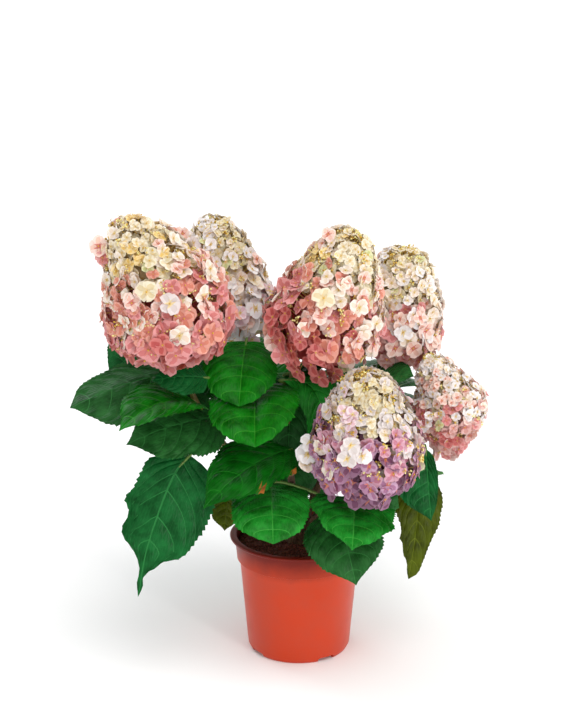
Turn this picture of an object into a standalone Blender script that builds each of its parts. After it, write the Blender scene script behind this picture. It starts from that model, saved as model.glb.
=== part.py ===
"""Panicle hydrangea in flower, growing in a round nursery pot.

Metres, Z up. The pot's flat foot is on z = 0 and its axis is x = y = 0.
The side turned to -Y is the one the photograph shows.
"""
import math
import random

import bpy
from mathutils import Matrix, Vector
from mathutils.bvhtree import BVHTree

# Pot and compost
LIP_RADIUS = 0.075
COLLAR_RADIUS = 0.0695
COLLAR_FOOT_RADIUS = 0.0674
BODY_TOP_RADIUS = 0.0645
BODY_FOOT_RADIUS = 0.0556
FOOT_RADIUS = 0.0530
FOOT_PAD_RADIUS = 0.0300
POT_HEIGHT = 0.130
COLLAR_HEIGHT = 0.0270
LIP_HEIGHT = 0.0026
WALL = 0.0018
FLOOR = 0.0024
CHANNEL_LIFT = 0.0040
POT_SIDES = 32
NOTCH_TURNS = (-147.0, -57.0, 33.0, 123.0)
NOTCH_WIDTH = 0.0200
HOLE_RADIUS = 0.0036
HOLE_RING = 0.0395
HOLES = 6
GAP = 0.0003
SOIL_LEVEL = 0.1210
SOIL_SIDES = 20

# Woody base and stems
STOOL_RADIUS = 0.0150
STOOL_HEIGHT = 0.0130
STUB_RING = 0.0185
STUB_LIFT = 0.0210
STUB_RADIUS = 0.0046
CANE_RADIUS = 0.0042
NECK_RADIUS = 0.0025
PETIOLE_RADIUS = 0.0016

# Leaves and flower heads
LEAF_THICKNESS = 0.0016
CORE_SHARE = 0.60
GOLDEN = math.pi * (3.0 - math.sqrt(5.0))

# Half width of a leaf and radius of a flower head, as shares of the widest
LEAF_OUTLINE = (
    (0.00, 0.00), (0.05, 0.42), (0.13, 0.74), (0.25, 0.96), (0.38, 1.00), (0.52, 0.97),
    (0.66, 0.82), (0.78, 0.55), (0.87, 0.28), (0.94, 0.09), (1.00, 0.00),
)
HEAD_OUTLINE = (
    (0.00, 0.45), (0.10, 0.74), (0.22, 0.96), (0.40, 1.00), (0.57, 0.94), (0.68, 0.82),
    (0.78, 0.69), (0.88, 0.55), (0.94, 0.44), (0.98, 0.28), (1.00, 0.12),
)

# Each shoot, in millimetres: turn of its stub on the woody base in degrees,
# share of it that is a bare cane, where it meets its flower head and which way
# it points there, middle of the head's base, tip and radius of the head, how
# far the head bows, its florets and the reach of one
SHOOTS = {
    "left": dict(turn=-160, bare=0.34, neck=(-125, -55, 340), aim=(-0.25, -0.05, 1.0),
                 seat=(-125, -55, 340), tip=(-184, -75, 496), radius=66, bow=(13, 0, 0),
                 florets=42, reach=16.5),
    "left_rear": dict(turn=168, bare=0.42, neck=(-62, 50, 339), aim=(-0.25, 0.1, 1.0),
                      seat=(-62, 50, 339), tip=(-88, 50, 470), radius=47, bow=(-4, 0, 0),
                      florets=34, reach=13.0),
    "middle": dict(turn=-96, bare=0.36, neck=(0, -42, 346), aim=(0.45, 0.0, 1.0),
                   seat=(21, -40, 338), tip=(48, -45, 480), radius=61, bow=(2, 0, 0),
                   florets=40, reach=15.0),
    "right_rear": dict(turn=28, bare=0.42, neck=(108, 50, 305), aim=(0.2, 0.1, 1.0),
                       seat=(108, 50, 305), tip=(117, 50, 437), radius=48, bow=(0, 0, 0),
                       florets=34, reach=13.0),
    "front": dict(turn=-52, bare=0.36, neck=(64, -72, 212), aim=(0.15, -0.5, 1.0),
                  seat=(66, -93, 203), tip=(63, -112, 347), radius=62, bow=(0, 0, 0),
                  florets=40, reach=15.5),
    "right": dict(turn=-10, bare=0.40, neck=(143, -4, 219), aim=(0.70, 0.0, 0.7),
                  seat=(167, -5, 222), tip=(136, -10, 328), radius=46, bow=(2, 0, 0),
                  florets=32, reach=12.5),
    "back_left": dict(turn=132, bare=0.40, neck=(-106, 150, 302), aim=(-0.3, 0.4, 1.0),
                      seat=(-106, 150, 302), tip=(-111, 155, 413), radius=45, bow=(0, 0, 0),
                      florets=30, reach=12.5),
    "back": dict(turn=97, bare=0.40, neck=(22, 130, 292), aim=(0.0, 0.4, 1.0),
                 seat=(22, 130, 292), tip=(26, 135, 406), radius=46, bow=(0, 0, 0),
                 florets=30, reach=12.5),
    "back_right": dict(turn=62, bare=0.40, neck=(118, 145, 287), aim=(0.3, 0.4, 1.0),
                       seat=(118, 145, 287), tip=(116, 155, 390), radius=45, bow=(0, 0, 0),
                       florets=30, reach=12.5),
}

# Leaves seen in the photograph, in millimetres: share of the shoot where the
# stalk leaves it, foot and tip of the blade, width, the way it faces, and as
# shares its arch, its fold and how far the midrib lies to one side
SEEN_LEAVES = {
    "left": (
        (0.90, (-139, -30, 311), (-239, -45, 287), 88, (0.00, -0.45, 0.90), 0.06, 0.10, 0.00),
        (0.70, (-104, -58, 294), (-182, -120, 287), 84, (-0.10, -0.15, 1.00), 0.17, 0.16, 0.00),
        (0.56, (-88, -50, 268), (-174, -86, 260), 82, (0.15, -0.55, 0.80), 0.10, -0.10, 0.00),
        (0.46, (-113, -75, 240), (-164, -115, 105), 92, (0.10, -0.85, 0.50), 0.05, -0.12, -0.40),
        (0.38, (-76, -40, 195), (-86, -55, 155), 28, (-0.30, -0.70, 0.50), 0.05, 0.10, 0.00),
        (0.96, (-158, 12, 344), (-203, 12, 306), 60, (-0.10, -0.80, 0.50), 0.05, 0.10, 0.00),
    ),
    "left_rear": (
        (0.88, (-56, -2, 347), (-58, -85, 303), 78, (-0.05, -0.65, 0.75), 0.09, 0.20, 0.00),
        (0.78, (-83, 25, 321), (-141, 0, 317), 54, (0.00, -0.55, 0.80), 0.08, 0.10, 0.00),
        (0.68, (-65, 14, 303), (-130, -8, 295), 60, (0.00, -0.45, 0.85), 0.08, 0.10, 0.00),
    ),
    "middle": (
        (0.80, (-10, -57, 320), (7, -77, 270), 48, (0.85, -0.25, 0.45), 0.26, 0.12, 0.00),
        (0.66, (-46, -26, 301), (-48, -125, 272), 96, (-0.14, -0.35, 0.90), 0.10, 0.34, 0.00),
        (0.42, (-2, -52, 246), (-98, -130, 208), 80, (-0.15, -0.45, 0.85), 0.12, 0.12, 0.00),
        (0.92, (6, -24, 322), (39, -48, 331), 34, (0.10, -0.30, 0.90), 0.10, 0.10, 0.00),
        (0.56, (8, -12, 285), (28, -34, 212), 56, (0.20, -0.80, 0.60), 0.08, 0.10, 0.00),
    ),
    "right_rear": (
        (0.85, (80, 15, 297), (117, -10, 307), 42, (0.10, -0.45, 0.90), 0.08, 0.10, 0.00),
    ),
    "front": (
        (0.72, (56, -68, 196), (52, -150, 171), 86, (0.16, -0.50, 0.85), 0.09, 0.12, 0.00),
        (0.52, (-30, -60, 208), (-30, -145, 176), 82, (0.00, -0.45, 0.90), 0.10, 0.12, 0.00),
        (0.40, (38, -65, 183), (57, -120, 122), 82, (0.00, -0.75, 0.60), 0.12, 0.10, 0.00),
    ),
    "right": (
        (0.72, (127, -33, 238), (133, -55, 166), 46, (-0.10, -0.85, 0.45), 0.06, 0.12, 0.00),
        (0.60, (138, 6, 200), (117, -25, 84), 52, (0.20, -0.85, 0.45), 0.08, 0.10, 0.00),
    ),
    "back_left": (
        (0.42, (-44, 72, 212), (-46, 62, 142), 60, (-0.10, -0.80, 0.30), -0.06, 0.10, 0.00),
    ),
    "back": (
        (0.52, (-12, 40, 256), (-30, 24, 200), 62, (-0.20, -0.80, 0.60), 0.08, 0.10, 0.00),
        (0.42, (18, 76, 214), (22, 70, 140), 64, (0.10, -0.80, 0.30), -0.06, 0.10, 0.00),
    ),
    "back_right": (),
}

# Leaves of the sides that are hidden: shares of the shoot that bear a pair,
# the turn of the lowest pair about the stem, and the least that a leaf of it
# points to the back
PAIRS = {
    "left": ((0.44, 0.64), 60, 0.2),
    "left_rear": ((0.46, 0.60, 0.74, 0.88), 20, 0.2),
    "middle": ((0.44, 0.60), 70, 0.2),
    "right_rear": ((0.46, 0.60, 0.74, 0.88), 50, 0.1),
    "front": ((0.44,), 30, 0.2),
    "right": ((0.44, 0.60, 0.76), 80, 0.3),
    "back_left": ((0.42, 0.56, 0.70, 0.84), 30, -1.0),
    "back": ((0.42, 0.56, 0.70, 0.84), 70, -1.0),
    "back_right": ((0.42, 0.56, 0.70, 0.84), 110, -1.0),
}
PAIR_LENGTH = 0.105
PAIR_WIDTH = 0.074
PAIR_STALK = 0.022
PAIR_DROOP = 0.42
PAIR_TWISTS = (0, 30, -30, 60, -60)
SPACE = ((-0.200, 0.165), (-0.200, 0.260), (0.060, 0.420))


def clear_scene():
    for thing in list(bpy.data.objects):
        bpy.data.objects.remove(thing, do_unlink=True)
    for mesh in list(bpy.data.meshes):
        bpy.data.meshes.remove(mesh)
    for material in list(bpy.data.materials):
        bpy.data.materials.remove(material)


def make_material(name, colour, roughness):
    material = bpy.data.materials.new(name)
    material.use_nodes = True
    shader = material.node_tree.nodes["Principled BSDF"]
    shader.inputs["Base Color"].default_value = (*colour, 1.0)
    shader.inputs["Roughness"].default_value = roughness
    material.diffuse_color = (*colour, 1.0)
    return material


def new_object(name, points, faces, collection=None):
    mesh = bpy.data.meshes.new(name)
    mesh.from_pydata([tuple(p) for p in points], [], faces)
    mesh.update()
    thing = bpy.data.objects.new(name, mesh)
    (collection or bpy.context.scene.collection).objects.link(thing)
    return thing


def interpolate(table, share):
    for (x0, y0), (x1, y1) in zip(table, table[1:]):
        if share <= x1:
            return y0 + (y1 - y0) * (share - x0) / (x1 - x0)
    return table[-1][1]


def turned(radius, degrees, height):
    angle = math.radians(degrees)
    return Vector((radius * math.cos(angle), radius * math.sin(angle), height))


def bezier(p0, p1, p2, p3, share):
    rest = 1.0 - share
    return (p0 * rest ** 3 + p1 * 3 * rest * rest * share
            + p2 * 3 * rest * share * share + p3 * share ** 3)


def cross_frame(forward):
    """Two directions square to the given one and to each other."""
    helper = Vector((0.0, 1.0, 0.0)) if abs(forward.y) < 0.8 else Vector((1.0, 0.0, 0.0))
    side = forward.cross(helper).normalized()
    return side, side.cross(forward).normalized()


def triangles(faces):
    out = []
    for face in faces:
        out.extend((face[0], face[k], face[k + 1]) for k in range(1, len(face) - 1))
    return out


def tube(centres, radii, sides, aims=None):
    """Closed round bar through the centres, its two ends cut square."""
    points = []
    side = None
    for k, centre in enumerate(centres):
        ahead = centres[min(k + 1, len(centres) - 1)] - centres[max(k - 1, 0)]
        if aims:
            ahead = aims[k]
        ahead = ahead.normalized()
        side = (side - ahead * side.dot(ahead)).normalized() if side else cross_frame(ahead)[0]
        up = side.cross(ahead)
        for j in range(sides):
            angle = 2 * math.pi * j / sides
            points.append(centre + (side * math.cos(angle) + up * math.sin(angle)) * radii[k])
    return points, triangles(ring_faces(len(centres), sides))


def ring_faces(rings, sides):
    """Faces of a bar of equal rings, both ends closed."""
    faces = [tuple(range(sides))]
    for k in range(rings - 1):
        for j in range(sides):
            a = k * sides + j
            b = k * sides + (j + 1) % sides
            faces.append((a, a + sides, b + sides, b))
    last = (rings - 1) * sides
    faces.append(tuple(range(last + sides - 1, last - 1, -1)))
    return faces


def lathe(profile, sides):
    """Solid of revolution; a profile point on the axis closes it there."""
    rings = []
    points = []
    for radius, height in profile:
        count = 1 if radius == 0.0 else sides
        rings.append((len(points), count))
        for j in range(count):
            points.append(turned(radius, 360.0 * j / sides, height))
    faces = []
    for (a, count_a), (b, count_b) in zip(rings, rings[1:]):
        for j in range(sides):
            k = (j + 1) % sides
            if count_a == 1:
                faces.append((a, b + k, b + j))
            elif count_b == 1:
                faces.append((a + j, a + k, b))
            else:
                faces.append((a + j, a + k, b + k, b + j))
    return points, faces


def cut(thing, cutters):
    """Take the cutters out of a solid and remove them."""
    for cutter in cutters:
        modifier = thing.modifiers.new("cut", "BOOLEAN")
        modifier.operation = "DIFFERENCE"
        modifier.solver = "EXACT"
        modifier.object = cutter
    settle(thing)
    for cutter in cutters:
        bpy.data.objects.remove(cutter, do_unlink=True)


def settle(thing):
    """Keep the shape the modifiers give."""
    bpy.context.view_layer.update()
    graph = bpy.context.evaluated_depsgraph_get()
    mesh = bpy.data.meshes.new_from_object(thing.evaluated_get(graph))
    thing.modifiers.clear()
    thing.data = mesh
    mesh.name = thing.name


def grow(name, first, rest, solver):
    """Join one mass: its first solid and every other one in a collection."""
    group = bpy.data.collections.new(name)
    bpy.context.scene.collection.children.link(group)
    mass = new_object(name, *first)
    for number, solid in enumerate(rest):
        new_object("%s_%d" % (name, number), *solid, collection=group)
    modifier = mass.modifiers.new("join", "BOOLEAN")
    modifier.operation = "UNION"
    modifier.solver = solver
    modifier.operand_type = "COLLECTION"
    modifier.collection = group
    settle(mass)
    for thing in list(group.objects):
        bpy.data.objects.remove(thing, do_unlink=True)
    bpy.data.collections.remove(group)
    return mass


def stub_end(shoot):
    return turned(STUB_RING, shoot["turn"], SOIL_LEVEL + STUB_LIFT)


def stub_aim(shoot):
    return (turned(0.55, shoot["turn"], 0.9)).normalized()


def shoot_point(shoot, share):
    """Middle of a shoot, from its stub (0) to the neck of its head (1)."""
    start = stub_end(shoot) + stub_aim(shoot) * GAP * 0.5
    neck = Vector(shoot["neck"]) / 1000
    reach = (neck - start).length
    second = start + stub_aim(shoot) * reach * 0.35
    third = neck - Vector(shoot["aim"]).normalized() * reach * 0.30
    return bezier(start, second, third, neck, share)


def shoot_radius(share):
    return CANE_RADIUS + (NECK_RADIUS - CANE_RADIUS) * share


def shoot_aim(shoot, share):
    return (shoot_point(shoot, share + 0.002) - shoot_point(shoot, share - 0.002)).normalized()


def shoot_tube(shoot, low, high, steps, sides):
    """Length of a shoot, drawn back by half a gap at both ends."""
    shares = [low + (high - low) * k / steps for k in range(steps + 1)]
    centres = [shoot_point(shoot, share) for share in shares]
    aims = [shoot_aim(shoot, share) for share in shares]
    centres[0] = centres[0] + aims[0] * GAP * 0.5
    centres[-1] = centres[-1] - aims[-1] * GAP * 0.5
    return tube(centres, [shoot_radius(share) for share in shares], sides, aims)


def make_pot():
    step = POT_HEIGHT - COLLAR_HEIGHT
    lip = POT_HEIGHT - LIP_HEIGHT
    floor = CHANNEL_LIFT + FLOOR
    profile = (
        (0.0, 0.0), (FOOT_PAD_RADIUS, 0.0), (FOOT_PAD_RADIUS + 0.0005, CHANNEL_LIFT),
        (FOOT_RADIUS - 0.0045, CHANNEL_LIFT), (FOOT_RADIUS - 0.004, 0.0), (FOOT_RADIUS, 0.0),
        (BODY_FOOT_RADIUS, 0.0050), (BODY_TOP_RADIUS, step), (COLLAR_FOOT_RADIUS, step + 0.0004),
        (COLLAR_RADIUS, lip - 0.0004), (LIP_RADIUS, lip), (LIP_RADIUS, POT_HEIGHT),
        (COLLAR_RADIUS - WALL + 0.0004, POT_HEIGHT), (COLLAR_FOOT_RADIUS - WALL, step + 0.0014),
        (BODY_TOP_RADIUS - WALL, step - 0.0014), (BODY_FOOT_RADIUS - WALL, floor),
        (FOOT_PAD_RADIUS + 0.0014, floor), (FOOT_PAD_RADIUS + 0.0004, FLOOR), (0.0, FLOOR),
    )
    pot = new_object("pot", *lathe(profile, POT_SIDES))
    cutters = []
    for number, degrees in enumerate(NOTCH_TURNS):
        box = [(x, y * NOTCH_WIDTH / 2, z) for x in (0.0440, 0.0600)
               for y in (-1, 1) for z in (-0.0040, 0.0046)]
        spin = Matrix.Rotation(math.radians(degrees), 3, "Z")
        points = [spin @ Vector(p) for p in box]
        faces = ((0, 1, 3, 2), (4, 6, 7, 5), (0, 4, 5, 1), (2, 3, 7, 6), (0, 2, 6, 4), (1, 5, 7, 3))
        cutters.append(new_object("notch_%d" % number, points, faces))
    for number in range(HOLES):
        at = turned(HOLE_RING, 360.0 * (number + 0.4) / HOLES, 0.0)
        ends = [at + Vector((0, 0, 0.001)), at + Vector((0, 0, 0.012))]
        cutters.append(new_object("hole_%d" % number, *tube(ends, (HOLE_RADIUS,) * 2, 8)))
    for cutter in cutters:
        cutter.hide_render = True
        cutter.display_type = "WIRE"
    cut(pot, cutters)
    return pot


def make_soil():
    """Compost filling the pot, lumpy above, flat where the woody base stands."""
    step = POT_HEIGHT - COLLAR_HEIGHT
    floor = CHANNEL_LIFT + FLOOR
    tuck = 0.0009
    profile = (
        (0.0, FLOOR + GAP), (FOOT_PAD_RADIUS - tuck, FLOOR + GAP),
        (FOOT_PAD_RADIUS, floor + GAP), (BODY_FOOT_RADIUS - WALL - tuck, floor + GAP),
        (BODY_TOP_RADIUS - WALL - tuck, step - 0.0014), (COLLAR_FOOT_RADIUS - WALL - tuck, step + 0.0020),
        (COLLAR_RADIUS - WALL - tuck - 0.0008, SOIL_LEVEL - 0.0015), (0.054, SOIL_LEVEL + 0.0005),
        (0.042, SOIL_LEVEL + 0.0010), (0.030, SOIL_LEVEL + 0.0005), (0.019, SOIL_LEVEL),
        (0.0, SOIL_LEVEL),
    )
    points, faces = lathe(profile, SOIL_SIDES)
    chance = random.Random(7)
    for point in points:
        if point.z >= SOIL_LEVEL + 0.0004:
            point.z += chance.uniform(-0.0022, 0.0026)
            point.x += chance.uniform(-0.0016, 0.0016)
            point.y += chance.uniform(-0.0016, 0.0016)
    return new_object("compost", points, triangles(faces))


def make_stool():
    """Woody base: a stump with a flat cut on the compost and a stub per shoot."""
    low = SOIL_LEVEL + GAP
    profile = (
        (0.0, low), (STOOL_RADIUS, low), (STOOL_RADIUS * 0.94, low + STOOL_HEIGHT * 0.55),
        (STOOL_RADIUS * 0.55, low + STOOL_HEIGHT), (0.0, low + STOOL_HEIGHT * 1.1),
    )
    points, faces = lathe(profile, 10)
    stubs = []
    for shoot in SHOOTS.values():
        end = stub_end(shoot)
        root = end - stub_aim(shoot) * 0.0150
        stubs.append(tube((root, end), (STUB_RADIUS * 1.1, STUB_RADIUS), 5))
    return grow("woody_base", (points, triangles(faces)), stubs, "EXACT")


def head_centre(shoot, share):
    seat = Vector(shoot["seat"]) / 1000
    tip = Vector(shoot["tip"]) / 1000
    return seat + (tip - seat) * share + Vector(shoot["bow"]) / 1000 * 4 * share * (1 - share)


def head_surface(shoot, share, turn):
    """Point on a flower head's outside and the way it faces."""
    step = 0.02
    here = head_centre(shoot, share)
    along = head_centre(shoot, share + step) - head_centre(shoot, share - step)
    length = along.length
    along.normalize()
    side, up = cross_frame(along)
    radial = side * math.cos(turn) + up * math.sin(turn)
    widest = shoot["radius"] / 1000
    below = interpolate(HEAD_OUTLINE, max(share - step, 0.0))
    above = interpolate(HEAD_OUTLINE, min(share + step, 1.0))
    facing = (radial - along * widest * (above - below) / length).normalized()
    return here + radial * widest * interpolate(HEAD_OUTLINE, share), facing


def head_shares(count):
    """Shares of the head's height that spread florets evenly over its skin."""
    steps = 200
    areas = [interpolate(HEAD_OUTLINE, (k + 0.5) / steps) + 0.10 for k in range(steps)]
    whole = sum(areas)
    shares = []
    run = 0.0
    for k, area in enumerate(areas):
        while len(shares) < count and run + area >= (len(shares) + 0.5) / count * whole:
            inside = ((len(shares) + 0.5) / count * whole - run) / area
            shares.append((k + inside) / steps)
        run += area
    return shares


def floret(shoot, share, turn, spin):
    """One floret: four sepals as a shallow pyramid whose root is in the core."""
    spot, facing = head_surface(shoot, share, turn)
    reach = shoot["reach"] / 1000 * (1.0 if share < 0.75 else 1.0 - (share - 0.75) * 1.4)
    inset = shoot["radius"] / 1000 * interpolate(HEAD_OUTLINE, share) * (1.0 - CORE_SHARE)
    middle = spot - facing * 0.0040
    side, up = cross_frame(facing)
    points = [middle + facing * 0.0030]
    for k in range(4):
        angle = spin + k * math.pi / 2
        points.append(middle + (side * math.cos(angle) + up * math.sin(angle)) * reach)
    points.append(middle - facing * (inset + (0.006 if share > 0.2 else 0.014)))
    faces = []
    for k in range(4):
        a = 1 + k
        b = 1 + (k + 1) % 4
        faces.append((0, b, a))
        faces.append((5, a, b))
    return points, faces


def room(spots, taken):
    """How far the nearest of the taken places is from any of the spots."""
    return min(((a - b).length for a in spots for b in taken), default=1.0)


def make_head(name, shoot):
    """Flower head: a rachis, a small core round it and florets all over."""
    sides = 8
    shares = (0.09, 0.24, 0.46, 0.68, 0.88, 0.97)
    points = []
    for share in shares:
        centre = head_centre(shoot, share)
        for j in range(sides):
            spot, facing = head_surface(shoot, share, 2 * math.pi * j / sides)
            points.append(centre + (spot - centre) * CORE_SHARE)
    core = (points, triangles(ring_faces(len(shares), sides)))
    aim = shoot_aim(shoot, 0.998)
    neck = shoot_point(shoot, 1.0) + aim * GAP * 0.5
    centres = (neck, neck + aim * 0.010, head_centre(shoot, 0.35))
    aims = (aim, aim, centres[2] - centres[1])
    rest = [tube(centres, (NECK_RADIUS, NECK_RADIUS * 0.95, NECK_RADIUS * 0.8), 6, aims)]
    stem = [shoot_point(shoot, 0.76 + 0.04 * k) for k in range(7)] + [centres[1]]
    chance = random.Random("head " + name)
    corners = []
    for number, share in enumerate(head_shares(shoot["florets"])):
        turn = number * GOLDEN + chance.uniform(-0.12, 0.12)
        spin = chance.uniform(0.0, math.pi / 2)
        spot, facing = head_surface(shoot, share, turn)
        if min((spot - point).length for point in stem) < shoot["reach"] / 1000 * 1.1:
            continue
        best = max((floret(shoot, share, turn, spin + k * math.pi / 8) for k in range(4)),
                   key=lambda solid: room(solid[0][1:5], corners))
        corners.extend(best[0][1:5])
        rest.append(best)
    return grow("bloom_" + name, core, rest, "EXACT")


def blade(leaf, rows, columns, thickness):
    """Leaf blade as a thin closed solid whose rim is sharp."""
    foot, tip, width, face, arch, fold, skew = leaf
    axis = tip - foot
    length = axis.length
    forward = axis / length
    up = (face - forward * face.dot(forward)).normalized()
    side = forward.cross(up)
    top = []
    under = []
    for share in rows:
        middle = foot + axis * share + up * (arch * length * 4 * share * (1 - share))
        half = width / 2 * interpolate(LEAF_OUTLINE, share)
        for column in columns:
            rise = fold * half * (abs(column) - 0.6 * column * column) * 1.6
            across = column + skew * (1.0 - column * column)
            spot = middle + side * half * across + up * rise
            edge = abs(column) == 1.0 or share in (rows[0], rows[-1])
            lift = 0.0 if edge else thickness / 2
            top.append(spot + up * lift)
            under.append(spot - up * lift)
    return weave(top, under, len(rows), len(columns))


def weave(top, under, rows, columns):
    """Join the two skins of a blade along their shared rim."""
    points = []
    index = {}

    def place(skin, key, spot):
        row, column = key
        if row in (0, rows - 1):
            tag = ("end", row)
        elif column in (0, columns - 1):
            tag = ("rim", row, column)
        else:
            tag = (skin, row, column)
        if tag not in index:
            index[tag] = len(points)
            points.append(spot)
        return index[tag]

    faces = []
    for skin, spots, flip in (("top", top, False), ("under", under, True)):
        numbers = []
        for row in range(rows):
            for column in range(columns):
                centre = row * columns + columns // 2
                at = centre if row in (0, rows - 1) else row * columns + column
                numbers.append(place(skin, (row, column), spots[at]))
        for row in range(rows - 1):
            for column in range(columns - 1):
                a = row * columns + column
                ring = []
                for number in (a, a + 1, a + columns + 1, a + columns):
                    if numbers[number] not in ring:
                        ring.append(numbers[number])
                for face in triangles([tuple(ring)]):
                    faces.append(tuple(reversed(face)) if flip else face)
    return points, faces


def petiole(shoot, share, leaf):
    """Stalk from the middle of the stem to well inside the blade."""
    foot, tip, width, face, arch, fold, skew = leaf
    forward = (tip - foot).normalized()
    start = shoot_point(shoot, share)
    up = (face - forward * face.dot(forward)).normalized()
    inside = foot + (tip - foot) * 0.10 + up * (arch * (tip - foot).length * 0.36)
    inside = inside + forward.cross(up) * (skew * width * 0.5 * interpolate(LEAF_OUTLINE, 0.10))
    reach = (foot - start).length
    second = start + (foot - start).normalized() * reach * 0.4 + Vector((0, 0, reach * 0.12))
    third = foot - (inside - foot).normalized() * reach * 0.3
    centres = [bezier(start, second, third, foot, k / 2) for k in range(3)]
    centres.append(inside)
    return tube(centres, [PETIOLE_RADIUS * size for size in (1.5, 1.1, 0.9, 0.5)], 4)


def seen_leaf(row):
    share, foot, tip, width, face, arch, fold, skew = row
    spots = (Vector(foot) / 1000, Vector(tip) / 1000, width / 1000, Vector(face))
    return share, (*spots, arch, fold, skew)


def paired_leaf(name, number, half, twist):
    """One leaf of an opposite pair, each pair a quarter turn on from the last."""
    shoot = SHOOTS[name]
    shares, first, least = PAIRS[name]
    here = shoot_point(shoot, shares[number])
    along = shoot_aim(shoot, shares[number])
    chance = random.Random("%s %d %d" % (name, number, half))
    level = turned(1.0, first + 90 * number + 180 * half + twist + chance.uniform(-14, 14), 0.0)
    out = (level - along * level.dot(along)).normalized()
    size = chance.uniform(0.85, 1.12) * (1.08 - 0.25 * shares[number])
    drop = PAIR_DROOP * chance.uniform(0.6, 1.3)
    foot = here + out * PAIR_STALK + along * 0.004
    tip = foot + (level - Vector((0, 0, drop))).normalized() * PAIR_LENGTH * size
    inside = all(low <= value <= high for value, (low, high) in zip(tip, SPACE))
    if level.y < least or not inside:
        return None
    face = Vector((level.x * 0.3, level.y * 0.3, 1.0))
    arch = 0.10 + 0.05 * chance.random()
    return foot, tip, PAIR_WIDTH * size, face, arch, 0.14, 0.0


FINE_ROWS = (0.0, 0.09, 0.27, 0.50, 0.72, 0.88, 1.0)
FINE_COLUMNS = (-1.0, -0.5, 0.0, 0.5, 1.0)
PLAIN_ROWS = (0.0, 0.10, 0.34, 0.64, 0.86, 1.0)
PLAIN_COLUMNS = (-1.0, 0.0, 1.0)


def tree_of(solid):
    points, faces = solid
    return BVHTree.FromPolygons([tuple(p) for p in points], faces)


def object_tree(thing):
    mesh = thing.data
    points = [tuple(vertex.co) for vertex in mesh.vertices]
    return BVHTree.FromPolygons(points, [tuple(face.vertices) for face in mesh.polygons])


def leafy_solids(limbs):
    """Solids of every leafy mass; a leaf that would touch anything is skipped."""
    stems = {}
    solids = {}
    blades = []
    stalks = []
    placed = []
    for name, shoot in SHOOTS.items():
        stems[name] = shoot_tube(shoot, shoot["bare"], 1.0, 5, 6)
        solids[name] = []
        limbs.append((name, tree_of(stems[name])))
        for row in SEEN_LEAVES[name]:
            share, leaf = seen_leaf(row)
            stalk = petiole(shoot, share, leaf)
            blades.append(("", tree_of(blade(leaf, FINE_ROWS, FINE_COLUMNS, 0.003))))
            stalks.append((name, tree_of(stalk)))
            solids[name] += [blade(leaf, FINE_ROWS, FINE_COLUMNS, LEAF_THICKNESS), stalk]
    places = [(name, number, half) for name in SHOOTS
              for number in range(len(PAIRS[name][0])) for half in (0, 1)]
    for name, number, half in places:
        for twist in PAIR_TWISTS:
            leaf = paired_leaf(name, number, half, twist)
            if not leaf:
                continue
            stalk = petiole(SHOOTS[name], PAIRS[name][0][number], leaf)
            thick = tree_of(blade(leaf, PLAIN_ROWS, PLAIN_COLUMNS, 0.004))
            line = tree_of(stalk)
            clash = any(thick.overlap(tree) for owner, tree in blades + stalks + limbs)
            others = blades + stalks + limbs
            if clash or any(line.overlap(tree) for owner, tree in others if owner != name):
                continue
            blades.append(("", thick))
            stalks.append((name, line))
            solids[name] += [blade(leaf, PLAIN_ROWS, PLAIN_COLUMNS, LEAF_THICKNESS), stalk]
            placed.append((name, number, half, twist))
            break
    return stems, solids, placed


def main():
    clear_scene()
    clay = make_material("pot_plastic", (0.62, 0.10, 0.045), 0.5)
    earth = make_material("compost_dark", (0.02, 0.012, 0.008), 0.95)
    bark = make_material("bark_brown", (0.13, 0.075, 0.035), 0.8)
    green = make_material("leaf_green", (0.02, 0.11, 0.02), 0.4)
    petal = make_material("sepal_pink", (0.75, 0.42, 0.38), 0.6)
    pot = make_pot()
    pot.data.materials.append(clay)
    soil = make_soil()
    soil.data.materials.append(earth)
    stool = make_stool()
    stool.data.materials.append(bark)
    limbs = [("", object_tree(pot)), ("", object_tree(soil)), ("", object_tree(stool))]
    for name, shoot in SHOOTS.items():
        cane = new_object("cane_" + name, *shoot_tube(shoot, 0.0, shoot["bare"], 3, 6))
        cane.data.materials.append(bark)
        limbs.append(("", object_tree(cane)))
        head = make_head(name, shoot)
        head.data.materials.append(petal)
        limbs.append(("", object_tree(head)))
    stems, solids, placed = leafy_solids(limbs)
    for name in SHOOTS:
        mass = grow("leaves_" + name, stems[name], solids[name], "EXACT")
        mass.data.materials.append(green)
    print("Paired leaves that found room:", placed)


main()
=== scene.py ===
"""Looks of a panicle hydrangea in flower in a round nursery pot.

Metres, Z up. The pot's foot is on z = 0, its axis is x = y = 0 and the side
that the photograph shows is turned to -Y. Each operator makes one piece or one
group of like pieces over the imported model, and the stage comes first.
"""

import math
import random
from functools import cache
from typing import NamedTuple

import bpy
import numpy as np
from mathutils import Matrix, Vector, noise
from mathutils.bvhtree import BVHTree


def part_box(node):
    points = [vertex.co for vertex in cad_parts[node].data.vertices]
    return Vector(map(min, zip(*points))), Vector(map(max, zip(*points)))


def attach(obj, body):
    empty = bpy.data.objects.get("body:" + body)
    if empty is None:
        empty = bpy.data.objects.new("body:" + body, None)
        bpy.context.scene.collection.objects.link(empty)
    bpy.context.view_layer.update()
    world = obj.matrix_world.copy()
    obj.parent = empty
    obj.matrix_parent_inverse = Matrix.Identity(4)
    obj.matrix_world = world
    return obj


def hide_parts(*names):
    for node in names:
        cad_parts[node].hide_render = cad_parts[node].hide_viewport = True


bl_info = {
    "name": "Potted Panicle Hydrangea",
    "version": (1, 0, 0),
    "blender": (4, 5, 0),
    "location": "View3D > Sidebar > Hydrangea",
    "description": "Pot, compost, woody stems, leaves and flower heads of a panicle hydrangea",
    "category": "Object",
}

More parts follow.
